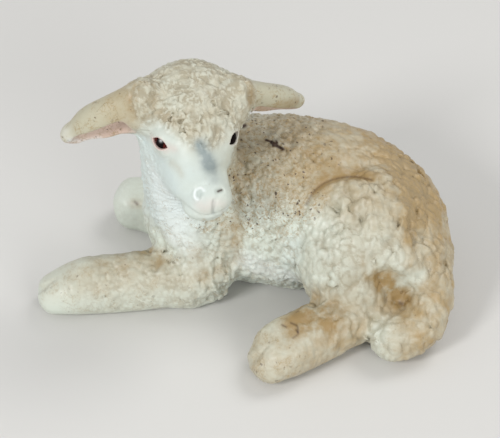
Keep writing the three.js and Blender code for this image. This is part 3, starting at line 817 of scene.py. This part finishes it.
band = np.nonzero(np.abs(form) < MASK_BAND)
band_points = np.stack([grid_axes[k][band[k]] for k in range(3)], 1)
bx, by, bz = band_points.T
share = {n: np.exp(-np.clip(fields[n][band], -SHARE_DEPTH, SHARE_DEPTH) / SHARE_SOFTNESS) for n in names}
total_share = sum(share.values())
share = {n: value / total_share for n, value in share.items()}
slopes = np.stack([slope[band] for slope in np.gradient(form, VOXEL)])
nx, ny, nz = slopes / np.linalg.norm(slopes, axis=0).clip(1e-6)
across, along, over = face_coordinates(bx, by, bz)
edge_x, edge_along, _ = face_coordinates(*on_line(CAP_EDGE).T)
order = np.argsort(edge_x)
measures = {
    "x": bx, "y": by, "z": bz, "facing x": nx, "facing y": ny, "facing z": nz,
    "across": across, "aside": np.abs(across), "along": along, "over": over,
    "over slanted": over + JAW_SLANT * along,
    "past cap edge": along - np.interp(across, edge_x[order], edge_along[order]),
    "throat height": bz + THROAT_SLANT * bx,
    "back height": bz + BACK_SLANT * bx,
}
zones = {name: smoothstep(begin, full, measures[by]) for name, (by, begin, full) in ZONES.items()}
zones["upper_skull"] = np.maximum(zones["above_jaw"], zones["nape"])
zones["pale_cheek"] = np.maximum(zones["cheek"], zones["right_cheek"])
zones["side"] = zones["behind_neck"] * zones["before_rump"]
calm_pocket = 1 - POCKET_CALM * np.exp(-near(band_points, swellings["pocket"][0]) / POCKET_REACH)
trims = {
    "throat": zones["not_facing_back"],
    "crust": zones["off_ground"],
    "lumps": zones["off_ground"] * calm_pocket,
}
for name, terms in RECIPES.items():
    total = 0
    for strength, pieces, where in terms:
        term = strength * sum(share[p] for p in pieces.split()) if pieces else strength
        for zone in where.split():
            term = term * (1 - zones[zone[1:]] if zone.startswith("-") else zones[zone])
        total = total + term
    zones[name] = np.clip(total, 0, 1) * trims[name] if name in trims else total


def spread(values):
    whole = np.zeros(shape, np.float32)
    whole[band] = values
    return blurred(whole, 1)


masks = {name: spread(zones[name]) for name in (*RELIEF, *SPREAD_TRAITS)}

# The wool's relief. Pebbled coats: how far the pattern is bent, the sizes of its pebbles, swells and
# small bumps, their heights, how dark its gaps and hollows are (painted shade), and the salts of its noises
WARP = (2.3, (1, 2, 3))
FINE_WARP = (0.8, (4, 5, 6))
COATS = {
    "lumps": {
        "bend": 0.8, "fine_bend": 0.2, "pebble": (1.05, 1.05, 1.9), "swell": (1.9, 1.9, 2.8), "bump": (0.6, 0.6, 0.9),
        "heights": (0.85, 0.3, 0.1), "middle": 0.8, "gap": 0.65, "hollow": 0.8, "salts": (11, 21, 22),
    },
    "crust": {
        "bend": 0.5, "fine_bend": 0.25, "pebble": (0.75, 0.75, 1.05), "swell": (1.6, 1.6, 2.4), "bump": (0.5, 0.5, 0.7),
        "heights": (0.7, 0.35, 0.12), "middle": 0.75, "gap": 1.2, "hollow": 1.0, "salts": (13, 25, 26),
    },
}
# The cap's curls and the throat's hair also give valleys, which the colour darkens as painted shade
CURL = {
    "bend": 0.7, "fine_bend": 0.45, "pebble": (0.8, 0.9, 1.1), "worm": (1.1, 1.1, 1.6), "turns": 1.5,
    "heights": (0.8, 0.35), "middle": 0.8, "gap": 1.35, "worm_gap": 2.5, "full": 2.5, "salts": (15, 33),
}
HAIR = {
    "from": on_face(12.0, -4.5), "across": 14, "along": 5.0, "bend": 0.3, "height": 0.6, "middle": 0.3,
    "fine": 0.4, "round": 0.002, "gap": 0.6, "gap_slope": 3, "salts": (41, 42),
}
# Slow changes over the coat: size, salt, middle, swing, least and most
CALM = (3.0, 24, 0.8, 0.6, 0.35, 1.1)
PATCHY = (1.5, 27, 0.7, 1.4, 0.25, 1.2)
GRAIN_SIZE, GRAIN_HEIGHT, GRAIN_SALT = 0.5, 0.015, 51
LEAST_WEIGHT = 0.01


def changing(points, size, salt, middle, swing, least, most):
    return np.clip(middle + swing * noise(points / size, salt), least, most)


def pebbled(p, coat, calm, patchy):
    """The height and the valleys of a coat of pebbles with swells and small bumps."""
    pebble_salt, swell_salt, bump_salt = coat["salts"]
    dome, gap = pebbles(p / np.array(coat["pebble"]), pebble_salt)
    swell = noise(p / np.array(coat["swell"]), swell_salt)
    bump = noise(p / np.array(coat["bump"]), bump_salt)
    high, swelling, bumpy = coat["heights"]
    height = calm * high * (dome - coat["middle"]) + swelling * swell + bumpy * bump
    return height, np.clip(coat["gap"] * gap * patchy + coat["hollow"] * np.clip(-swell, 0, 1), 0, 1)


def curled(p, calm, patchy):
    """The height and the valleys of the cap's curls: pebbles with worms over them."""
    pebble_salt, worm_salt = CURL["salts"]
    dome, gap = pebbles(p / np.array(CURL["pebble"]), pebble_salt)
    turn = noise(p / np.array(CURL["worm"]), worm_salt) * 2 * math.pi * CURL["turns"]
    worm = (1 + np.cos(turn)) / 2
    high, worm_high = CURL["heights"]
    height = calm * (high * (dome - CURL["middle"]) + worm_high * (worm - 0.5))
    return height, CURL["gap"] * patchy * np.maximum(gap, 1 - CURL["worm_gap"] * worm)


def haired(points, warp):
    """The height and the valleys of the throat's hair, which fans out from the chin."""
    away = points - HAIR["from"]
    far = np.linalg.norm(away, axis=1)[:, None]
    p = away / far * HAIR["across"] + far / HAIR["along"] + warp * HAIR["bend"]
    coarse, fine = (
        np.sqrt(noise(p * scale, salt) ** 2 + HAIR["round"]) for scale, salt in zip((1, 2), HAIR["salts"])
    )
    streak = coarse + HAIR["fine"] * fine
    height = HAIR["height"] * (streak - HAIR["middle"])
    return height, np.clip(HAIR["gap"] - HAIR["gap_slope"] * streak, 0, 1)


def wool(points, weights):
    """Height of the coat's relief over the form, in mm, and how deep in a valley a point is."""
    height = GRAIN_HEIGHT * noise(points / GRAIN_SIZE, GRAIN_SALT)
    valley = np.zeros(len(points), np.float32)
    warp, fine_warp = (np.stack([noise(points / size, s) for s in salts], 1) for size, salts in (WARP, FINE_WARP))
    calm = changing(points, *CALM)
    patchy = changing(points, *PATCHY)
    for kind, weight in weights.items():
        on = weight > LEAST_WEIGHT
        if not on.any():
            continue
        deep = weight[on]
        coat = COATS.get(kind, CURL)
        bent = points[on] + warp[on] * coat["bend"] + fine_warp[on] * coat["fine_bend"]
        if kind == "throat":
            relief, dark = haired(points[on], warp[on])
        elif kind == "curl":
            relief, dark = curled(bent, calm[on], patchy[on])
            deep = np.clip(deep * CURL["full"], 0, 1)
        else:
            relief, dark = pebbled(bent, coat, calm[on], patchy[on])
        height[on] += weight[on] * relief
        valley[on] += deep * dark
    return height, np.clip(valley, 0, 1)


# Turning a piece's share of the form into its own mesh
OVERLAP = 0.3
DIP = 0.12
SURFACE_NEAR = 0.4
DIVIDE_NEAR = 0.2
SCULPT_MARGIN = 1.0
WOOL_BAND = (-0.6, 0.7)
FIELD_VOXELS = 3
VOXELS = {
    "body": 0.17, "head": 0.125, "ear_left": 0.15, "ear_right": 0.15, "foreleg_left": 0.16,
    "foreleg_right": 0.2, "hind_leg_left": 0.155, "hind_leg_right": 0.2, "tail": 0.16,
}
INNER_DEPTH = (0.3, 0.08)
INNER_START = (0.5, 3.5)
TRAIT_MOST = 2


def resampled(array, axes):
    """A shared-grid array on finer axes, by cubic B-splines."""
    for k in range(3):
        t = axes[k] / VOXEL - first[k]
        i = np.floor(t).astype(int)
        f = (t - i).astype(np.float32)
        before = (1 - f) ** 3 / 6
        here = (3 * f**3 - 6 * f**2 + 4) / 6
        after = (-3 * f**3 + 3 * f**2 + 3 * f + 1) / 6
        line = [1, 1, 1]
        line[k] = -1
        out = 0
        for m, w in enumerate((before, here, after, f**3 / 6)):
            taken = np.take(array, np.clip(i + m - 1, 0, array.shape[k] - 1), axis=k)
            out = out + taken * w.reshape(line)
        array = out
    return array


def largest_part(count, quads):
    """Which vertices belong to the biggest connected part."""
    label = np.arange(count)
    edges = np.vstack([quads[:, [k, (k + 1) % 4]] for k in range(4)])
    while True:
        low = np.minimum(label[edges[:, 0]], label[edges[:, 1]])
        new = label.copy()
        for side in (0, 1):
            np.minimum.at(new, edges[:, side], low)
        new = new[new]
        new = new[new]
        if (new == label).all():
            break
        label = new
    values, counts = np.unique(label, return_counts=True)
    return label == values[np.argmax(counts)]


def sculpted(name, voxel):
    """A piece's share of the form on its own finer grid, the valleys in it, and the grid's start."""
    others = np.minimum.reduce([fields[n] for n in names if n != name])
    divide = (fields[name] - others) / 2
    inside = np.nonzero((form < SURFACE_NEAR) & (divide < OVERLAP + DIVIDE_NEAR))
    low = np.array([grid_axes[k][inside[k].min()] for k in range(3)]) - SCULPT_MARGIN
    high = np.array([grid_axes[k][inside[k].max()] for k in range(3)]) + SCULPT_MARGIN
    start = np.floor(low / voxel).astype(int)
    size = np.ceil(high / voxel).astype(int) - start + 1
    axes = [(start[k] + np.arange(size[k])) * voxel for k in range(3)]
    field = resampled(form, axes)
    divide = resampled(divide, axes)
    for line, width, height in strokes:
        press(field, axes, line, width, height)
    surface = (field > WOOL_BAND[0]) & (field < WOOL_BAND[1]) & (divide < OVERLAP + SURFACE_NEAR)
    near_surface = np.nonzero(surface)
    points = np.stack([axes[k][near_surface[k]] for k in range(3)], 1).astype(np.float32)
    height, valley = wool(points, {kind: resampled(masks[kind], axes)[near_surface] for kind in RELIEF})
    field[near_surface] -= height
    valleys = np.zeros(field.shape, np.float32)
    valleys[near_surface] = valley
    x, y, z = np.meshgrid(*axes, indexing="ij", sparse=True)
    if name == "head":
        for side in (LEFT, RIGHT):
            edge, out = almond(side, x, y, z)
            opening = np.maximum(edge, -out - EYE_FLOOR)
            field = np.where(out > -EYE_FLOOR, np.maximum(field, -opening), field)
    past = np.clip(divide / OVERLAP, 0, 1.5)
    field = np.maximum(field + DIP * past * past, divide - OVERLAP)
    return np.maximum(field, -z), valleys, start


def traits_of(name, points, valley):
    """What the paint goes by at each vertex."""
    traits = {kind: np.zeros(len(points)) for kind in (*PAINTS, "inner")}
    traits["valley"] = valley
    traits.update({kind: sample(masks[kind], points) for kind in SPREAD_TRAITS})
    for kind, line, width, strength in paints:
        reach = BLUR_REACH * width + PAINT_DEPTH
        on = np.nonzero(((points > line.min(0) - reach) & (points < line.max(0) + reach)).all(1))[0]
        traits[kind][on] += strength * np.exp(-beside(points[on], line) / width**2)
    if name in EARS:
        root, tip, _, _ = ear_axes(EARS[name])
        inner = smoothstep(*INNER_DEPTH, sample(hollows[name], points))
        traits["inner"] = inner * smoothstep(*INNER_START, (points - root) @ tip)
    if name == "head":
        for side in (LEFT, RIGHT):
            edge, out = almond(side, *points.T)
            traits["pink"] += LID_PINK[side] * smoothstep(LID_PINK_WIDTH, 0, edge) * (out > 0)
    return {kind: np.clip(value, 0, TRAIT_MOST) for kind, value in traits.items()}


def add_values(mesh, values):
    """Writes a number for each vertex under each name."""
    for key, value in values.items():
        mesh.attributes.new(key, "FLOAT", "POINT").data.foreach_set("value", value.astype(np.float32))


def sculpt(name, voxel):
    """The visual piece that takes a solid's place."""
    field, valleys, start = sculpted(name, voxel)
    limit = FIELD_VOXELS * voxel
    grid = vdb.FloatGrid(limit)
    grid.transform = vdb.createLinearTransform(voxelSize=voxel)
    grid.copyFromArray(np.clip(field, -limit, limit).astype(np.float32), ijk=tuple(int(v) for v in start))
    points, _, quads = grid.convertToPolygons(isovalue=0.0, adaptivity=0.0)
    keep = largest_part(len(points), quads)
    quads = (np.cumsum(keep) - 1)[quads[keep[quads[:, 0]]]]
    points = points[keep].astype(np.float64)
    a, b, c = (points[quads[:, k]] for k in range(3))
    if np.einsum("ij,ij->i", a, np.cross(b, c)).sum() < 0:
        quads = quads[:, ::-1]
    mesh = bpy.data.meshes.new(name + "_form")
    mesh.vertices.add(len(points))
    mesh.vertices.foreach_set("co", (points * MM).astype(np.float32).ravel())
    mesh.loops.add(len(quads) * 4)
    mesh.loops.foreach_set("vertex_index", quads.astype(np.int32).ravel())
    mesh.polygons.add(len(quads))
    mesh.polygons.foreach_set("loop_start", np.arange(0, len(quads) * 4, 4, dtype=np.int32))
    mesh.polygons.foreach_set("loop_total", np.full(len(quads), 4, np.int32))
    mesh.polygons.foreach_set("use_smooth", np.ones(len(quads), bool))
    mesh.update(calc_edges=True)
    x, y, z = np.clip(np.round(points / voxel - start).astype(int), 0, np.array(field.shape) - 1).T
    add_values(mesh, traits_of(name, points, valleys[x, y, z]))
    return link(name + "_sculpt", mesh)


def link(name, data):
    """Puts a mesh, lamp or camera into the scene."""
    made = bpy.data.objects.new(name, data)
    bpy.context.scene.collection.objects.link(made)
    return made


pieces = {name: sculpt(name, VOXELS[name]) for name in names}


# Materials
def material(name):
    made = bpy.data.materials.new(name)
    made.use_nodes = True
    tree = made.node_tree
    shader = next(n for n in tree.nodes if n.type == "BSDF_PRINCIPLED")
    return made, tree, shader


def colour(red, green, blue):
    """A colour written as it looks, 0 to 255, as the renderer counts it."""
    values = [c / 255 for c in (red, green, blue)]
    return tuple(c / 12.92 if c <= 0.04045 else ((c + 0.055) / 1.055) ** 2.4 for c in values) + (1,)


def feed(tree, socket, value):
    """Links a node's output to a socket, or sets the socket to a plain value."""
    if hasattr(value, "is_output"):
        tree.links.new(value, socket)
    else:
        socket.default_value = value


def node(tree, kind, **inputs):
    made = tree.nodes.new(kind)
    for key, value in inputs.items():
        feed(tree, made.inputs[key], value)
    return made


def attribute(tree, name):
    made = tree.nodes.new("ShaderNodeAttribute")
    made.attribute_name = name
    return made.outputs["Fac"]


def mixed(tree, factor, a, b):
    made = tree.nodes.new("ShaderNodeMix")
    made.data_type = "RGBA"
    for index, value in ((0, factor), (6, a), (7, b)):
        feed(tree, made.inputs[index], value)
    return made.outputs[2]


def maths(tree, operation, *values, clamp=False):
    made = tree.nodes.new("ShaderNodeMath")
    made.operation = operation
    made.use_clamp = clamp
    for socket, value in zip(made.inputs, values):
        feed(tree, socket, value)
    return made.outputs[0]


# Ochre, slate and the dark brown serve as real paint and dirt and also as painted shade in folds, pits and hollows; the
# valley colour is painted shade in the wool's valleys; the cool tint is partly painted light and shade; the lightest
# colour is painted light; the glint is the eye's painted highlight
CREAM = colour(211, 219, 208)
TAN = colour(171, 147, 105)
OCHRE_AND_SHADE = colour(156, 131, 88)
VALLEY_SHADE = colour(146, 133, 106)
COOL = colour(204, 216, 213)
SLATE_AND_SHADE = colour(142, 153, 152)
PINK = colour(216, 180, 172)
PAINTED_LIGHT = colour(234, 240, 240)
SOOT_AND_SHADE = colour(62, 42, 28)
EAR_CREAM = colour(190, 188, 166)
EAR_PINK = colour(206, 182, 170)
PUPIL = colour(18, 11, 11)
IRIS = colour(88, 36, 32)
GLINT = colour(205, 205, 205)
PAPER = colour(214, 213, 210)

NOISES = {
    "broad": {"Scale": 190.0, "Detail": 4.0},
    "patches": {"Scale": 520.0, "Detail": 5.0, "Roughness": 0.6},
    "fine": {"Scale": 1700.0, "Detail": 3.0},
    "scratch": {"Scale": 800.0, "Detail": 1.0},
    "thread": {"Scale": 1500.0, "Detail": 1.0},
}
# Each is a gain and an offset
UNEVEN = (1.4, 0.2)
BLOTCHES = (4.0, -1.35)
VALLEY_ON_TAN = (0.1, 0.55)
OCHRE_ON_BLOTCHES = (0.75, 0.4)
SLATE_ON_BLOTCHES = (0.4, 0.5)
DIRT = (3.3, -0.36)
SCRATCH_LINE = (-70.0, 1.0)
SCRATCHED_PATCHES = (8.0, -3.9)
STAIN_LINE = (-18.0, 1.0)
RED_ENDS = (6.0, -2.9)
# Specks are the middles of some cells: the cells' scale, the spread of their sizes, and the least
SPECKS = ((1100.0, 0.68, -0.38), (2000.0, 0.66, -0.32))
SPECK_EDGE = 14.0
SCRATCH_STRENGTH, STAIN_STRENGTH, SPECK_STRENGTH = 0.6, 0.8, 0.9
COOL_STRENGTH, INNER_STRENGTH, OCHRE_STRENGTH, PINK_STRENGTH, PAINTED_LIGHT_STRENGTH = 0.8, 0.85, 0.85, 0.75, 0.8
BEND = (0.0007, 0.0007, 0.0007)
VINYL_ROUGHNESS, VINYL_SPECULAR = 0.4, 0.45
GLOSS_ROUGHNESS, GLOSS_SPECULAR = 0.3, 0.03
BUMP_STRENGTH, BUMP_DISTANCE = 0.15, 0.0002


def vinyl(name, base, inner):
    made, tree, shader = material(name)
    place = tree.nodes.new("ShaderNodeTexCoord").outputs["Object"]

    def trait(key, strength=1.0, clamp=False):
        return maths(tree, "MULTIPLY", attribute(tree, key), strength, clamp=clamp)

    def times(a, b, clamp=False):
        return maths(tree, "MULTIPLY", a, b, clamp=clamp)

    def ramp(value, gain_and_offset, clamp=False):
        return maths(tree, "MULTIPLY_ADD", value, *gain_and_offset, clamp=clamp)

    def level_line(key, line):
        """Thin lines where a noise is level."""
        wander = node(tree, "ShaderNodeTexNoise", Vector=bent, **NOISES[key]).outputs["Fac"]
        return ramp(maths(tree, "ABSOLUTE", maths(tree, "SUBTRACT", wander, 0.5)), line, clamp=True)

    broad, patches, fine = (
        node(tree, "ShaderNodeTexNoise", Vector=place, **NOISES[key]) for key in ("broad", "patches", "fine")
    )
    bending = tree.nodes.new("ShaderNodeVectorMath")
    bending.operation = "MULTIPLY_ADD"
    for socket, value in zip(bending.inputs, (fine.outputs["Color"], BEND, place)):
        feed(tree, socket, value)
    bent = bending.outputs[0]
    blotches = ramp(patches.outputs["Fac"], BLOTCHES, clamp=True)

    # Broad paint, with painted shade in the wool's valleys, folds and hollows, and painted highlights and lit patches
    tan = trait("tan", ramp(patches.outputs["Fac"], UNEVEN), clamp=True)
    out = mixed(tree, attribute(tree, "cap"), base, CREAM)
    # Tan staining; on the rear-facing sides and the face it is partly painted shade
    out = mixed(tree, tan, out, TAN)
    # A cool bluish tint, partly painted light on the neck and throat and painted shade over the face
    out = mixed(tree, trait("cool", COOL_STRENGTH), out, COOL)
    out = mixed(tree, trait("inner", INNER_STRENGTH), out, inner)
    # Painted shade in the wool's valleys
    out = mixed(tree, trait("valley", ramp(tan, VALLEY_ON_TAN)), out, VALLEY_SHADE)
    # Ochre stains, and painted shade in the pocket, the folds and creases, the ear's lower edge and under the chin
    ochre_and_shade = trait("ochre_and_shade", ramp(blotches, OCHRE_ON_BLOTCHES))
    out = mixed(tree, times(ochre_and_shade, OCHRE_STRENGTH, clamp=True), out, OCHRE_AND_SHADE)
    # Slate grey paint on the nose's bridge, and painted shade on its shaded side, in the philtrum and in the nostril
    out = mixed(tree, trait("slate_and_shade", ramp(blotches, SLATE_ON_BLOTCHES)), out, SLATE_AND_SHADE)
    out = mixed(tree, trait("pink", PINK_STRENGTH), out, PINK)
    # Painted highlights and lit patches
    out = mixed(tree, trait("painted_light", PAINTED_LIGHT_STRENGTH), out, PAINTED_LIGHT)

    # Dirt: stains, specks and scratches, and dark brown marks; the dark lines in the thigh's fold, the pocket's pit and
    # the far nostril's slit are painted shade
    dirty = ramp(trait("grime", blotches, clamp=True), DIRT, clamp=True)
    stain = times(level_line("thread", STAIN_LINE), dirty)
    out = mixed(tree, times(stain, STAIN_STRENGTH), out, OCHRE_AND_SHADE)
    scratch = times(level_line("scratch", SCRATCH_LINE), ramp(broad.outputs["Fac"], SCRATCHED_PATCHES, clamp=True))
    marks = times(scratch, SCRATCH_STRENGTH)
    for scale, *spread_and_least in SPECKS:
        cell = node(tree, "ShaderNodeTexVoronoi", Vector=bent, Scale=scale)
        red = node(tree, "ShaderNodeSeparateColor", Color=cell.outputs["Color"]).outputs[0]
        inside = maths(tree, "SUBTRACT", ramp(red, spread_and_least), cell.outputs["Distance"])
        marks = maths(tree, "MAXIMUM", marks, times(inside, SPECK_EDGE, clamp=True))
    dark = times(times(marks, dirty), SPECK_STRENGTH)
    # Dark brown specks, marks and fleck, and painted shade in the thigh's fold, the pocket's pit and the far nostril's
    # slit
    out = mixed(tree, maths(tree, "MAXIMUM", dark, attribute(tree, "soot_and_shade")), out, SOOT_AND_SHADE)

    tree.links.new(out, shader.inputs["Base Color"])
    shader.inputs["Roughness"].default_value = VINYL_ROUGHNESS
    shader.inputs["Specular IOR Level"].default_value = VINYL_SPECULAR
    grain = fine.outputs["Fac"]
    bump = node(tree, "ShaderNodeBump", Strength=BUMP_STRENGTH, Distance=BUMP_DISTANCE, Height=grain)
    tree.links.new(bump.outputs["Normal"], shader.inputs["Normal"])
    return made


def eye_gloss():
    made, tree, shader = material("eye_gloss")
    ends = maths(tree, "MULTIPLY_ADD", attribute(tree, "ends"), *RED_ENDS, clamp=True)
    iris = mixed(tree, ends, PUPIL, IRIS)
    tree.links.new(mixed(tree, attribute(tree, "glint"), iris, GLINT), shader.inputs["Base Color"])
    shader.inputs["Roughness"].default_value = GLOSS_ROUGHNESS
    shader.inputs["Specular IOR Level"].default_value = GLOSS_SPECULAR
    return made


coat = vinyl("painted_coat", CREAM, CREAM)
ear_paint = vinyl("painted_ear", EAR_CREAM, EAR_PINK)
gloss = eye_gloss()

for name, piece in pieces.items():
    piece.data.materials.append(ear_paint if name in EARS else coat)
    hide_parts(name)
    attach(piece, "root")

# Eyes: smooth glossy balls between the lids, with a painted glint on the lamb's right one
BALL_SIDES = 64
BALL_RINGS = 31
GLINT_WIDTH = 0.2


def glint_point():
    """Where the camera's ray through the glint's pixel meets the ball of the right eye."""
    ray = camera_ray(*GLINT_PIXEL)
    to_eye = eye_middle[RIGHT] - camera_eye
    level = to_eye @ ray
    half_chord = math.sqrt(max(EYE_RADIUS**2 - to_eye @ to_eye + level**2, 0))
    return camera_eye + (level - half_chord) * ray


def ball(middle):
    """Points and faces of an eye, its rings lying level."""
    turn = np.arange(BALL_SIDES) / BALL_SIDES * 2 * math.pi
    points = []
    for rise in np.linspace(-math.pi / 2, math.pi / 2, BALL_RINGS + 2)[1:-1]:
        level = np.full(BALL_SIDES, math.sin(rise))
        points.append(np.stack([math.cos(rise) * np.cos(turn), math.cos(rise) * np.sin(turn), level], 1))
    points = np.vstack(points + [[0, 0, -1], [0, 0, 1]]) * EYE_RADIUS + middle
    foot = BALL_SIDES * BALL_RINGS
    top = foot - BALL_SIDES
    faces = []
    for k in range(BALL_SIDES):
        n = (k + 1) % BALL_SIDES
        faces += [(r + k, r + n, r + n + BALL_SIDES, r + k + BALL_SIDES) for r in range(0, top, BALL_SIDES)]
        faces += [(foot, n, k), (foot + 1, top + k, top + n)]
    return points, faces


for name, side in EYES.items():
    points, faces = ball(eye_middle[side] + EYE_BULGE[side] * face_direction(side, LOOK_OUT))
    mesh = bpy.data.meshes.new(name + "_ball")
    mesh.from_pydata((points * MM).tolist(), [], faces)
    mesh.polygons.foreach_set("use_smooth", np.ones(len(mesh.polygons), bool))
    ends = np.abs(from_eye(side, *points.T)[0]) * EYE_REDNESS[side]
    add_values(mesh, {"ends": ends, "glint": np.exp(-near(points, [glint_point()]) / GLINT_WIDTH**2)})
    mesh.materials.append(gloss)
    piece = link(name + "_ball", mesh)
    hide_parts(name)
    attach(piece, "root")

# Floor, light and camera, in metres
FLOOR_HALF = 1.5
FLOOR_ROUGHNESS = 0.9
WORLD_STRENGTH = 0.5
LAMP_AIM = Vector((0, 0, 0.01))
# Each lamp: its place, the size of its disk, and its power in watts
LAMPS = {
    "key": ((-0.36, -0.37, 0.38), 0.16, 1.75),
    "fill": ((0.25, -0.45, 0.22), 0.3, 0.95),
    "back": ((0.3, 0.2, 0.5), 0.3, 1.05),
}

floor_mesh = bpy.data.meshes.new("floor")
corners = [(x * FLOOR_HALF, y * FLOOR_HALF, 0) for x, y in ((-1, -1), (1, -1), (1, 1), (-1, 1))]
floor_mesh.from_pydata(corners, [], [(0, 1, 2, 3)])
floor = link("floor", floor_mesh)
paper, tree, shader = material("pale_paper")
shader.inputs["Base Color"].default_value = PAPER
shader.inputs["Roughness"].default_value = FLOOR_ROUGHNESS
floor_mesh.materials.append(paper)
floor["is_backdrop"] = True

world = bpy.data.worlds.new("studio")
bpy.context.scene.world = world
world.use_nodes = True
background = next(n for n in world.node_tree.nodes if n.type == "BACKGROUND")
background.inputs["Color"].default_value = (1, 1, 1, 1)
background.inputs["Strength"].default_value = WORLD_STRENGTH


def aim(thing, at, direction):
    """Puts a lamp or camera at a place, looking in a direction."""
    thing.location = at
    thing.rotation_mode = "QUATERNION"
    thing.rotation_quaternion = direction.to_track_quat("-Z", "Y")


for name, (at, size, power) in LAMPS.items():
    lamp = bpy.data.lights.new(name, "AREA")
    lamp.shape = "DISK"
    lamp.size = size
    lamp.energy = power
    aim(link(name, lamp), at, LAMP_AIM - Vector(at))

camera_data = bpy.data.cameras.new("camera")
camera_data.sensor_width = SENSOR_WIDTH
camera_data.lens = FOCAL_PIXELS * SENSOR_WIDTH / PICTURE_WIDTH
camera_data.clip_start = CLIP_START
camera_data.clip_end = CLIP_END
camera = link("camera", camera_data)
aim(camera, tuple(camera_eye * MM), Vector(tuple(-camera_back)))
bpy.context.scene.camera = camera
bpy.context.scene.view_settings.view_transform = "Standard"

low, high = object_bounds()
